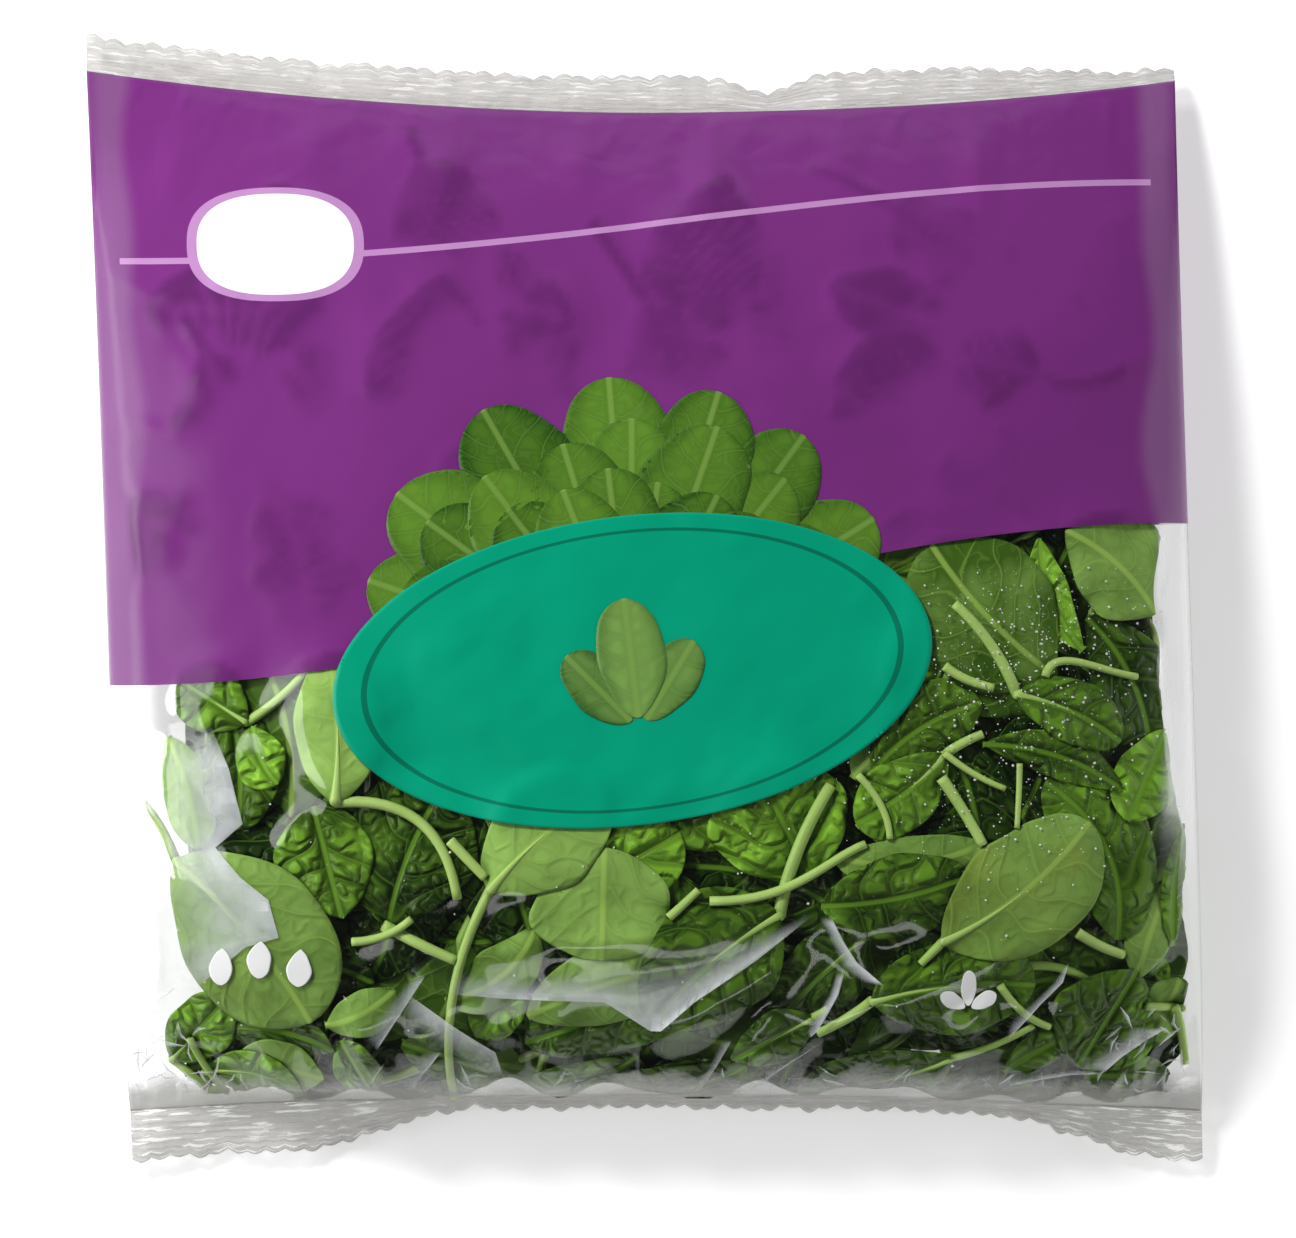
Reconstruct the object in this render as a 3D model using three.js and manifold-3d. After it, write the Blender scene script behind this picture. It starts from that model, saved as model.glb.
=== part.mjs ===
// A sealed pillow bag of baby spinach, filled and lying on its back with the window side up.
// Millimetres, +Z up: X runs across the bag, Y from the bottom seal to the top seal, and the
// origin is in the middle of the outline on the surface that the bag rests on.
import * as THREE from "three";
import Module from "manifold-3d";

const wasm = await Module();
wasm.setup();

// Outline seen from above
const HALF_WIDTH = 138; // from the middle line to a side fold
const TOP_FLARE = 2; // extra half width where the top seal spreads the film
const FLARE_POWER = 6; // how late the film spreads to it
const LEAN = -0.034; // sideways shift of the middle line for each mm of Y
const BOTTOM_Y = -132; // inner line of the bottom seal, at the corners
const BOTTOM_BOW = 4.6; // how far that line is drawn up in the middle
const TOP_Y = 134.5; // inner line of the top seal, at the corners
const TOP_BOW = 9.7; // how far that line is drawn down in the middle
const TOP_TILT = -1.3; // the right end of the top seal lies this much lower

// Heights of the filled film
const SIDE_HEIGHT = 23; // the side folds, where the front meets the back
const FRONT_RISE = 33; // the crown of the front above the side folds
const BACK_DROP = 34; // the back below the side folds, before the table flattens it
const FULLEST = 0.36; // share of the way from the bottom seal to the top one
const FRONT_SIDE_POWERS = [3.1, 2.0]; // superellipse across the front
const BACK_SIDE_POWERS = [4.2, 2.2]; // and across the back
const LOWER_END_POWERS = [2.5, 1.9]; // superellipse from the fullest place to the bottom seal
const UPPER_END_POWERS = [2.1, 1.25]; // and to the top seal
const SIDE_REACH = [0.09, 0.16]; // how soon the side folds leave each seal's height
const CORNER_RADIUS = 27; // the corners stay flat about this far in
const RELIEF_FROM = 0.3; // fullness at which leaves and folds reach their whole height

// Seals, as bands of two films welded together
const SEAL_THICKNESS = 1.0;
const BODY_EDGE_THICKNESS = 1.5; // the body where it meets a seal
const SEAL_OVERLAP = 1.6; // how far a band runs into the body
const SEAL_INSET = 0.4; // a band's end inside the side fold
const BOTTOM_BAND = 13.2; // true width of the bottom seal
const BOTTOM_REACH = [4.4, 13.1]; // its width seen from above, in the middle and at a corner
const BOTTOM_FLAT_LEFT = [0.36, 0.7]; // where the band turns from steep to flat
const BOTTOM_FLAT_RIGHT = [0.6, 0.92];
const BOTTOM_CORNER_Z = 5;
const BOTTOM_HANG = 0.85; // share of the band's drop that lifts its inner line
const BOTTOM_WAVE = { high: 1.1, turns: 9.5, phase: 0.6 };
const TOP_REACH = [9.7, 3.9]; // width of the top seal on the left and at the right corner
const TOP_NARROWS = [0.55, 1.0];
const TOP_NOTCH = { at: 0.25, depth: 4.6, width: 0.055 };
const TOP_CORNER_Z = 8;
const TOP_ARCH_Z = 3.5;
const TOP_DROOP = 2.2; // the cut edge of the top seal below its inner line
const TOP_WAVE = { high: 1.1, turns: 8.2, phase: -0.9 };
const TEETH = 56; // zigzag cut along both seals
const TOOTH_DEPTH = 1.6;

// Mesh of the body and of a seal
const COLUMNS = 46;
const ROWS = 38;
const BAND_COLUMNS = 2 * TEETH;
const BAND_ROWS = 2;

// Folds of the film that run in from the seals: how many, how far apart, how long, wide and
// high, and the angle they turn away from Y at the middle and, by the fan, towards a corner.
const SEAL_FOLDS = [
  { end: -1, count: 11, pitch: 23, long: 34, wide: 8, high: 2.6, turn: 9, fan: 40 },
  { end: 1, count: 8, pitch: 33, long: 36, wide: 10, high: 1.8, turn: -4, fan: 12 },
];
const SHORT_FOLD = 0.68; // every second fold's length and height

// Pleats where the side folds are drawn in.
const SIDE_PLEATS = { count: 6, pitch: 37, long: 24, wide: 7, high: 1.5, slope: 0.35 };

// Creases of slack film that cross the window.
const CREASES = [
  { root: [-34, -88], tip: [46, -80], wide: 11, high: 2.6 },
  { root: [2, -112], tip: [48, -80], wide: 9, high: 2.2 },
  { root: [46, -80], tip: [64, -106], wide: 7, high: 2.0 },
  { root: [56, -104], tip: [122, -74], wide: 8, high: 1.8 },
];

// Leaves that push the film out: middle in mm, length and width, turn in degrees and height.
const LEAVES = [
  { at: [-78, -34], size: [46, 24], turn: 100, high: 2.8 },
  { at: [-101, -84], size: [40, 30], turn: 118, high: 3.0 },
  { at: [-44, -66], size: [38, 34], turn: 60, high: 2.4 },
  { at: [-16, -66], size: [44, 32], turn: 210, high: 2.8 },
  { at: [-2, -98], size: [66, 34], turn: 20, high: 3.0 },
  { at: [34, -54], size: [38, 34], turn: 130, high: 2.8 },
  { at: [60, -72], size: [42, 24], turn: 4, high: 3.0 },
  { at: [97, -72], size: [42, 34], turn: 38, high: 3.0 },
  { at: [84, -6], size: [34, 34], turn: 70, high: 2.4 },
  { at: [104, -30], size: [44, 24], turn: 150, high: 2.8 },
  { at: [78, -104], size: [56, 28], turn: 8, high: 2.8 },
  { at: [-70, -110], size: [52, 24], turn: 12, high: 2.4 },
  { at: [20, 36], size: [60, 44], turn: 30, high: 2.2 },
  { at: [-60, 44], size: [60, 40], turn: 120, high: 2.2 },
  { at: [92, 52], size: [56, 40], turn: 70, high: 2.2 },
];

const { lerp, degToRad, clamp, smoothstep } = THREE.MathUtils;

function superellipse(x, [outer, inner]) {
  return Math.max(0, 1 - Math.abs(x) ** outer) ** (1 / inner);
}

function wave(s, { high, turns, phase }) {
  return high * Math.sin(turns * s + phase) * (1 - s * s);
}

// How full the bag is along its length: 0 at the seals, 1 at the fullest place.
function fullness(v) {
  return v < FULLEST
    ? superellipse(1 - v / FULLEST, LOWER_END_POWERS)
    : superellipse((v - FULLEST) / (1 - FULLEST), UPPER_END_POWERS);
}

// The bottom seal's width seen from above: narrow where it hangs steeply, full at the corners.
function bottomReach(s) {
  const [from, to] = s < 0 ? BOTTOM_FLAT_LEFT : BOTTOM_FLAT_RIGHT;
  return lerp(BOTTOM_REACH[0], BOTTOM_REACH[1], smoothstep(Math.abs(s), from, to));
}

function bottomDrop(s) {
  return Math.sqrt(BOTTOM_BAND ** 2 - bottomReach(s) ** 2);
}

// The top seal's width: torn lower near the middle, and folded narrow at its right end.
function topReach(s) {
  const notch = Math.exp(-(((s - TOP_NOTCH.at) / TOP_NOTCH.width) ** 2));
  return lerp(TOP_REACH[0], TOP_REACH[1], smoothstep(s, ...TOP_NARROWS)) - TOP_NOTCH.depth * notch;
}

// Inner lines of the seals: Y and Z for a place s across the bag, from -1 to 1.
function bottomLine(s) {
  return {
    y: BOTTOM_Y + BOTTOM_BOW * (1 - s * s),
    z: BOTTOM_CORNER_Z + BOTTOM_HANG * bottomDrop(s) + wave(s, BOTTOM_WAVE),
  };
}

function topLine(s) {
  return {
    y: TOP_Y - TOP_BOW * (1 - s * s) + TOP_TILT * s,
    z: TOP_CORNER_Z + TOP_ARCH_Z * (1 - s * s) + wave(s, TOP_WAVE),
  };
}

// The folds at the seals and the pleats at the sides, each as a root, a tip and a size.
function foldsAndPleats() {
  const folds = [...CREASES];
  for (const { end, count, pitch, long, wide, high, turn, fan } of SEAL_FOLDS) {
    for (let i = 0; i < count; i++) {
      const x = (i - (count - 1) / 2) * pitch;
      const share = i % 2 ? SHORT_FOLD : 1;
      const angle = degToRad(turn + (fan * x) / HALF_WIDTH);
      const y = end < 0 ? bottomLine(x / HALF_WIDTH).y : topLine(x / HALF_WIDTH).y;
      const tip = [
        x + long * share * Math.sin(angle),
        y - end * long * share * Math.cos(angle),
      ];
      folds.push({ root: [x, y], tip, wide, high: high * share });
    }
  }
  const { count, pitch, long, wide, high, slope } = SIDE_PLEATS;
  for (let i = 0; i < count; i++) {
    for (const side of [-1, 1]) {
      const y = (i - (count - 1) / 2) * pitch + (side * pitch) / 4;
      const x = LEAN * y + side * HALF_WIDTH;
      const share = i % 2 ? SHORT_FOLD : 1;
      folds.push({ root: [x, y], tip: [x - side * long, y - slope * long], wide, high: high * share });
    }
  }
  return folds;
}

// A fold is a sharp ridge, broad at its root, that dies away at its tip.
function ridge(x, y, { root, tip, wide, high }) {
  const length = Math.hypot(tip[0] - root[0], tip[1] - root[1]);
  const [ax, ay] = [(tip[0] - root[0]) / length, (tip[1] - root[1]) / length];
  const along = ((x - root[0]) * ax + (y - root[1]) * ay) / length;
  const across = Math.abs((x - root[0]) * ay - (y - root[1]) * ax);
  const narrowed = wide * (1 - clamp(along, 0, 1) / 2);
  const ends = smoothstep(along, -0.15, 0.15) * (1 - smoothstep(along, 0.4, 1.1));
  return high * Math.max(0, 1 - across / narrowed) * ends;
}

// A leaf behind the film is a low round swelling.
function swelling(x, y, { at, size, turn, high }) {
  const [c, s] = [Math.cos(degToRad(turn)), Math.sin(degToRad(turn))];
  const u = ((x - at[0]) * c + (y - at[1]) * s) / (size[0] / 2);
  const w = ((y - at[1]) * c - (x - at[0]) * s) / (size[1] / 2);
  return high * Math.exp(-(u * u + w * w));
}

const ridges = foldsAndPleats();

function relief(x, y) {
  let height = 0;
  for (const fold of ridges) height += ridge(x, y, fold);
  for (const leaf of LEAVES) height += swelling(x, y, leaf);
  return height;
}

// A point of the film: s across from -1 to 1, v from the bottom seal at 0 to the top seal at 1.
function filmPoint(s, v, side) {
  const [low, high] = [bottomLine(s), topLine(s)];
  const y = lerp(low.y, high.y, v);
  const x = LEAN * y + (HALF_WIDTH + TOP_FLARE * v ** FLARE_POWER) * s;
  const nearLow = Math.exp(-v / SIDE_REACH[0]);
  const nearHigh = Math.exp(-(1 - v) / SIDE_REACH[1]);
  const middle =
    low.z * nearLow + high.z * nearHigh + SIDE_HEIGHT * (1 - nearLow - nearHigh);
  const toEnd = Math.min(v, 1 - v) * (TOP_Y - BOTTOM_Y);
  const toSide = (1 - Math.abs(s)) * HALF_WIDTH;
  const corner = 1 - Math.exp(-(toEnd ** 2 + toSide ** 2) / CORNER_RADIUS ** 2);
  const full = fullness(v) * corner;
  const edge = (BODY_EDGE_THICKNESS / 2) * superellipse(s, FRONT_SIDE_POWERS);
  if (side === "front") {
    const raised = FRONT_RISE * full + relief(x, y) * smoothstep(full, 0, RELIEF_FROM);
    return new THREE.Vector3(x, y, middle + edge + raised * superellipse(s, FRONT_SIDE_POWERS));
  }
  const drop = BACK_DROP * full * superellipse(s, BACK_SIDE_POWERS);
  return new THREE.Vector3(x, y, Math.max(0, middle - edge - drop));
}

// A closed solid from rows of points. Every row is a ring, and each end is closed by pairing
// the ring's first half with its second half, which runs the other way.
function ringSolid(rows) {
  const around = rows[0].length;
  const points = rows.flat();
  const last = rows.length - 1;
  const at = (j, i) => j * around + ((i + around) % around);
  const triangles = [];
  for (let j = 0; j < last; j++) {
    for (let i = 0; i < around; i++) {
      triangles.push([at(j, i), at(j, i + 1), at(j + 1, i + 1)]);
      triangles.push([at(j, i), at(j + 1, i + 1), at(j + 1, i)]);
    }
  }
  for (let i = 0; i < around / 2; i++) {
    const [a, b, c, d] = [i, i + 1, around - i - 1, around - i];
    triangles.push([at(0, a), at(0, c), at(0, b)], [at(0, a), at(0, d), at(0, c)]);
    triangles.push([at(last, a), at(last, b), at(last, c)]);
    triangles.push([at(last, a), at(last, c), at(last, d)]);
  }
  const whole = triangles.filter((corners) => new Set(corners).size === 3);
  return new wasm.Manifold(
    new wasm.Mesh({
      numProp: 3,
      vertProperties: new Float32Array(points.flatMap((p) => [p.x, p.y, p.z])),
      triVerts: new Uint32Array(whole.flat()),
    }),
  );
}

// Rows run from the top seal to the bottom one, closer together near both, and each ring runs
// over the front and back under the bag.
function filledBody() {
  const rows = [];
  for (let j = ROWS; j >= 0; j--) {
    const v = (1 - Math.cos((Math.PI * j) / ROWS)) / 2;
    const ring = [];
    for (let i = 0; i < 2 * COLUMNS; i++) {
      const s = Math.cos((Math.PI * i) / COLUMNS);
      ring.push(filmPoint(s, v, i <= COLUMNS ? "front" : "back"));
    }
    rows.push(ring);
  }
  return ringSolid(rows);
}

// One seal: a thin band that runs outwards from the body's end to its zigzag cut edge.
function sealBand(end) {
  const half = HALF_WIDTH + (end < 0 ? 0 : TOP_FLARE) - SEAL_INSET;
  const rows = [];
  for (let j = 0; j <= BAND_ROWS; j++) {
    const out = j / BAND_ROWS;
    const over = [];
    const under = [];
    for (let i = 0; i <= BAND_COLUMNS; i++) {
      const s = 1 - (2 * i) / BAND_COLUMNS;
      const line = end < 0 ? bottomLine(s) : topLine(s);
      const reach = (end < 0 ? bottomReach(s) : topReach(s)) - TOOTH_DEPTH * (i % 2) * out;
      const drop = end < 0 ? bottomDrop(s) : TOP_DROOP;
      const y = line.y + end * lerp(-SEAL_OVERLAP, reach, out);
      const z = line.z - drop * out;
      over.push(new THREE.Vector3(LEAN * y + half * s, y, z + SEAL_THICKNESS / 2));
      under.unshift(new THREE.Vector3(LEAN * y + half * s, y, z - SEAL_THICKNESS / 2));
    }
    rows.push([...over, ...under]);
  }
  return ringSolid(end < 0 ? rows : rows.reverse());
}

function toGeometry(solid) {
  const mesh = solid.getMesh();
  const geometry = new THREE.BufferGeometry();
  geometry.setAttribute("position", new THREE.BufferAttribute(mesh.vertProperties, 3));
  geometry.setIndex(new THREE.BufferAttribute(mesh.triVerts, 1));
  geometry.computeVertexNormals();
  return geometry;
}

const film = new THREE.MeshStandardMaterial({ color: 0x6f2c7a, roughness: 0.22, metalness: 0 });

const bag = new THREE.Mesh(toGeometry(filledBody().add(sealBand(-1)).add(sealBand(1))), film);
bag.name = "bag";

// The outline's middle goes over the origin, and the flat of the back onto the table.
const box = new THREE.Box3().setFromBufferAttribute(bag.geometry.getAttribute("position"));
const centre = box.getCenter(new THREE.Vector3());
bag.position.set(-centre.x, -centre.y, -box.min.z);

const root = new THREE.Group();
root.add(bag);

export default root;
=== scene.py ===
"""A sealed pillow bag of baby spinach: printed film, crimped seals, leaves, stems and drops."""
import logging
import math
from dataclasses import dataclass, field, replace
from enum import Enum

import bpy
import numpy as np
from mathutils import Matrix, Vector


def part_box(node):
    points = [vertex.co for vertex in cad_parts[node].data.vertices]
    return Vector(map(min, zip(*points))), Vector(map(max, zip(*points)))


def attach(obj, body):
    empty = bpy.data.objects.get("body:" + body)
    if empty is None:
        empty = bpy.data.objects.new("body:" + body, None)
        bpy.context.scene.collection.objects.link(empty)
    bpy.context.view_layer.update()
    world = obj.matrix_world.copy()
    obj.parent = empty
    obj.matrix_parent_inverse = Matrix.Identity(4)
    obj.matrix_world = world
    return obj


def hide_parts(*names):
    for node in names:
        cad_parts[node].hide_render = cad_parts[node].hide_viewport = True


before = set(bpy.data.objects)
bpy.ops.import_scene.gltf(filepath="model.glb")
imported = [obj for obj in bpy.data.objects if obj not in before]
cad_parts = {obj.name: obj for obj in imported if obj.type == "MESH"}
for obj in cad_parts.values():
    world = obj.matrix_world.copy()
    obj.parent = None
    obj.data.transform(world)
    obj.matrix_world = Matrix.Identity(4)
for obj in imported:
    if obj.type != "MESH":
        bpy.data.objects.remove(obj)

log = logging.getLogger("spinach_bag")
Array = np.ndarray
Pair = tuple[float, float]
Colour = tuple[float, float, float]
Material, Object = bpy.types.Material, bpy.types.Object
Tree, Node, Socket = bpy.types.NodeTree, bpy.types.Node, bpy.types.NodeSocket
MM = 0.001
UP = np.array((0.0, 0.0, 1.0))
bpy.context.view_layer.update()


# Plain arithmetic on arrays


def smoothstep(x: Array, low: float, high: float) -> Array:
    """Rise from 0 at low to 1 at high along 3t^2 - 2t^3."""
    t = np.clip((np.asarray(x) - low) / (high - low), 0.0, 1.0)
    return t * t * (3 - 2 * t)


def superellipse(x: Array, powers: Pair) -> Array:
    """Fall from 1 in the middle to 0 at -1 and 1: (1 - |x|^outer)^(1 / inner)."""
    return np.maximum(0.0, 1 - np.abs(x) ** powers[0]) ** (1 / powers[1])


def softened(grid: Array, rounds: int) -> Array:
    """Average each value of a grid with its four neighbours, again and again.

    Args:
        grid: rows of values.
        rounds: how many times the average is taken.
    Returns:
        The softened grid.
    """
    for _ in range(rounds):
        wide = np.pad(grid, 1, mode="edge")
        around = wide[:-2, 1:-1] + wide[2:, 1:-1] + wide[1:-1, :-2] + wide[1:-1, 2:]
        grid = grid / 2 + around / 8
    return grid


def shifted_maximum(grid: Array) -> Array:
    """The largest of each value's eight neighbours in a grid."""
    wide = np.pad(grid, 1, mode="edge")
    rows, columns = grid.shape
    steps = [(i, j) for i in range(3) for j in range(3) if (i, j) != (1, 1)]
    return np.max([wide[i : i + rows, j : j + columns] for i, j in steps], axis=0)


def refined(grid: Array, times: int) -> Array:
    """Put more values between those of a grid, along straight lines both ways.

    Args:
        grid: rows of values.
        times: how many steps each old step becomes.
    Returns:
        The finer grid.
    """
    for _ in range(2):
        old = np.arange(grid.shape[0])
        new = np.linspace(0, old[-1], old[-1] * times + 1)
        low = np.minimum(new.astype(int), old[-1] - 1)
        share = (new - low)[:, None]
        grid = (grid[low] * (1 - share) + grid[low + 1] * share).T
    return grid


def unit(vectors: Array) -> Array:
    """Vectors brought to length 1."""
    return vectors / np.maximum(np.linalg.norm(vectors, axis=-1, keepdims=True), 1e-9)


def heading(angle: float) -> Array:
    """The unit vector that points at an angle in radians, anticlockwise from +X."""
    return np.array((math.cos(angle), math.sin(angle)))


def clustered(count: int, share: float) -> Array:
    """Run from -1 to 1 in count steps, closer near both ends: share 1 spaces them as a sine does."""
    even = np.linspace(-1, 1, count + 1)
    return (1 - share) * even + share * np.sin(even * math.pi / 2)


@dataclass(frozen=True)
class Ripples:
    """A smooth uneven field, the sum of sine waves that run in seeded directions."""

    wavelength: float
    height: float
    seed: int
    waves: int = 7
    spread: Pair = (0.65, 1.6)

    def at(self, x: Array, y: Array) -> Array:
        """Add up height * sin(2 pi * distance along the wave / length + phase).

        Args:
            x, y: places across and along, mm.
        Returns:
            Heights in mm.
        """
        draw = np.random.default_rng(self.seed)
        total = np.zeros(np.broadcast(x, y).shape)
        for turn, stretch, phase in draw.uniform(0, 1, (self.waves, 3)):
            way = math.tau * turn
            low, high = self.spread
            length = self.wavelength * (low + (high - low) * stretch)
            run = (x * math.cos(way) + y * math.sin(way)) / length + phase
            total = total + np.sin(math.tau * run)
        return self.height * total / math.sqrt(self.waves)


@dataclass(frozen=True)
class Fold:
    """A sharp ridge of film, broad at its root, that dies away at its tip."""

    root: Pair
    tip: Pair
    wide: float
    high: float

    def at(self, x: Array, y: Array) -> Array:
        """Height of a tent whose half width narrows from root to tip.

        Args:
            x, y: places across and along, mm.
        Returns:
            Heights in mm.
        """
        dx, dy = self.tip[0] - self.root[0], self.tip[1] - self.root[1]
        length = math.hypot(dx, dy)
        along = ((x - self.root[0]) * dx + (y - self.root[1]) * dy) / length**2
        across = np.abs((x - self.root[0]) * dy - (y - self.root[1]) * dx) / length
        narrowed = self.wide * (1 - np.clip(along, 0, 1) / 2)
        ends = smoothstep(along, -0.15, 0.15) * (1 - smoothstep(along, 0.4, 1.1))
        return self.high * np.maximum(0.0, 1 - across / narrowed) * ends


@dataclass(frozen=True)
class Swelling:
    """A low round hill where a leaf pushes the film out."""

    at: Pair
    size: Pair
    turn: float
    high: float

    def height(self, x: Array, y: Array) -> Array:
        """Height of a bell whose axes are the leaf's: high * exp(-(u^2 + w^2))."""
        c, s = math.cos(math.radians(self.turn)), math.sin(math.radians(self.turn))
        u = ((x - self.at[0]) * c + (y - self.at[1]) * s) / (self.size[0] / 2)
        w = ((y - self.at[1]) * c - (x - self.at[0]) * s) / (self.size[1] / 2)
        return self.high * np.exp(-(u * u + w * w))


# The film


@dataclass(frozen=True)
class Wave:
    """A gentle up and down of a seal line: high * sin(turns * s + phase) * (1 - s^2)."""

    high: float
    turns: float
    phase: float

    def at(self, s: Array) -> Array:
        """Height in mm at a place across the bag."""
        return self.high * np.sin(self.turns * s + self.phase) * (1 - s * s)


class Side(Enum):
    """The two faces of the bag."""

    FRONT = 1
    BACK = -1


@dataclass(frozen=True)
class BagShape:
    """The filled bag in mm: s runs across from -1 to 1, v from the bottom seal to the top one."""

    half_width: float = 138.0
    top_flare: float = 2.0
    flare_power: float = 6.0
    lean: float = -0.034
    bottom_y: float = -132.0
    bottom_bow: float = 4.6
    top_y: float = 134.5
    top_bow: float = 9.7
    top_tilt: float = -1.3
    side_height: float = 23.0
    front_rise: float = 33.0
    back_drop: float = 34.0
    fullest: float = 0.36
    front_powers: Pair = (3.1, 2.0)
    back_powers: Pair = (4.2, 2.2)
    lower_powers: Pair = (2.5, 1.9)
    upper_powers: Pair = (2.1, 1.25)
    side_reach: Pair = (0.09, 0.16)
    corner_radius: float = 27.0
    relief_from: float = 0.3
    edge: float = 0.15
    bottom_band: float = 13.2
    bottom_reach: Pair = (4.4, 13.1)
    bottom_flat_left: Pair = (0.36, 0.7)
    bottom_flat_right: Pair = (0.6, 0.92)
    bottom_corner_z: float = 5.0
    bottom_hang: float = 0.85
    bottom_wave: Wave = Wave(1.1, 9.5, 0.6)
    top_reach: Pair = (9.7, 3.9)
    top_narrows: Pair = (0.55, 1.0)
    notch_at: float = 0.25
    notch_depth: float = 4.6
    notch_width: float = 0.055
    top_corner_z: float = 8.0
    top_arch_z: float = 3.5
    top_droop: float = 2.2
    top_wave: Wave = Wave(1.1, 8.2, -0.9)
    short_fold: float = 0.68

    def fullness(self, v: Array) -> Array:
        """0 at the seals and 1 at the fullest place, a superellipse towards each end."""
        lower = superellipse(1 - v / self.fullest, self.lower_powers)
        upper = superellipse((v - self.fullest) / (1 - self.fullest), self.upper_powers)
        return np.where(v < self.fullest, lower, upper)

    def bottom_width(self, s: Array) -> Array:
        """The bottom seal's width seen from above, narrow where it hangs steeply."""
        left = smoothstep(np.abs(s), *self.bottom_flat_left)
        right = smoothstep(np.abs(s), *self.bottom_flat_right)
        low, high = self.bottom_reach
        return low + (high - low) * np.where(s < 0, left, right)

    def bottom_drop(self, s: Array) -> Array:
        """How far the bottom seal falls to its cut edge."""
        return np.sqrt(self.bottom_band**2 - self.bottom_width(s) ** 2)

    def top_width(self, s: Array) -> Array:
        """The top seal's width: notched near the middle, folded narrow at its right end."""
        notch = np.exp(-(((s - self.notch_at) / self.notch_width) ** 2))
        low, high = self.top_reach
        return low + (high - low) * smoothstep(s, *self.top_narrows) - self.notch_depth * notch

    def bottom_line(self, s: Array) -> tuple[Array, Array]:
        """Y and Z of the bottom seal's inner line."""
        y = self.bottom_y + self.bottom_bow * (1 - s * s)
        z = self.bottom_corner_z + self.bottom_hang * self.bottom_drop(s)
        return y, z + self.bottom_wave.at(s)

    def top_line(self, s: Array) -> tuple[Array, Array]:
        """Y and Z of the top seal's inner line."""
        y = self.top_y - self.top_bow * (1 - s * s) + self.top_tilt * s
        z = self.top_corner_z + self.top_arch_z * (1 - s * s) + self.top_wave.at(s)
        return y, z

    def seal_line(self, end: int, s: Array) -> tuple[Array, Array]:
        """Y and Z of the inner line of the bottom seal, end -1, or of the top one, end 1."""
        return self.bottom_line(s) if end < 0 else self.top_line(s)

    def plan(self, s: Array, v: Array) -> tuple[Array, Array]:
        """X and Y, seen from above, of a place on the film."""
        y = self.bottom_line(s)[0] * (1 - v) + self.top_line(s)[0] * v
        half = self.half_width + self.top_flare * v**self.flare_power
        return self.lean * y + half * s, y

    def place(self, x: Array, y: Array) -> tuple[Array, Array]:
        """The s and v of a point seen from above, kept inside the outline.

        Args:
            x, y: places across and along, mm.
        Returns:
            s and v, found by going round plan() three times.
        """
        v = np.full(np.shape(x), 0.5)
        for _ in range(3):
            half = self.half_width + self.top_flare * v**self.flare_power
            s = np.clip((x - self.lean * y) / half, -1, 1)
            low, high = self.bottom_line(s)[0], self.top_line(s)[0]
            v = np.clip((y - low) / (high - low), 0, 1)
        return s, v

    def seal_fold(self, end: int, x: float, turn: float, long: float, wide: float, high: float) -> Fold:
        """A ridge that runs in from a seal.

        Args:
            end: -1 for the bottom seal and 1 for the top one.
            x: where it starts, mm.
            turn: degrees off the bag's length.
            long, wide, high: length, half width and height, mm.
        Returns:
            The ridge.
        """
        y = float(self.seal_line(end, np.array(x / self.half_width))[0])
        angle = math.radians(turn)
        tip = (x + long * math.sin(angle), y - end * long * math.cos(angle))
        return Fold((x, y), tip, wide, high)

    def folds(self) -> list[Fold]:
        """The ridges that run in from the seals and side folds, and the slack creases."""
        made = list(CREASES)
        for end, count, pitch, long, wide, high, turn, fan in SEAL_FOLDS:
            for i in range(count):
                x = (i - (count - 1) / 2) * pitch
                share = self.short_fold if i % 2 else 1.0
                turned = turn + fan * x / self.half_width
                made.append(self.seal_fold(end, x, turned, long * share, wide, high * share))
        count, pitch, long, wide, high, slope = SIDE_PLEATS
        for i in range(count):
            for side in (-1, 1):
                y = (i - (count - 1) / 2) * pitch + side * pitch / 4
                x = self.lean * y + side * self.half_width
                share = self.short_fold if i % 2 else 1.0
                tip = (x - side * long, y - slope * long)
                made.append(Fold((x, y), tip, wide, high * share))
        return made

    def relief(self, x: Array, y: Array) -> Array:
        """The height that folds and leaves add to the front."""
        ridges = sum(fold.at(x, y) for fold in self.folds())
        return ridges + sum(leaf.height(x, y) for leaf in SWELLINGS)

    def middle(self, s: Array, v: Array) -> Array:
        """Height of the side folds, which start at one seal's height and end at the other's."""
        near_low = np.exp(-v / self.side_reach[0])
        near_high = np.exp(-(1 - v) / self.side_reach[1])
        ends = self.bottom_line(s)[1] * near_low + self.top_line(s)[1] * near_high
        return ends + self.side_height * (1 - near_low - near_high)

    def filling(self, s: Array, v: Array) -> Array:
        """How full the bag is at a place: 0 at the seals and in the corners."""
        to_end = np.minimum(v, 1 - v) * (self.top_y - self.bottom_y)
        to_side = (1 - np.abs(s)) * self.half_width
        corner = 1 - np.exp(-(to_end**2 + to_side**2) / self.corner_radius**2)
        return self.fullness(v) * corner

    def film(self, s: Array, v: Array, side: Side, added: Array | float = 0.0) -> Array:
        """Height of the film at a place.

        Args:
            s, v: places across and along.
            side: front or back.
            added: relief in mm that is added to the front.
        Returns:
            Heights in mm above the table.
        """
        full = self.filling(s, v)
        edge = self.edge * superellipse(s, self.front_powers)
        if side is Side.FRONT:
            raised = self.front_rise * full + added * smoothstep(full, 0, self.relief_from)
            return self.middle(s, v) + edge + raised * superellipse(s, self.front_powers)
        drop = self.back_drop * full * superellipse(s, self.back_powers)
        return np.maximum(0.0, self.middle(s, v) - edge - drop)


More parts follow.
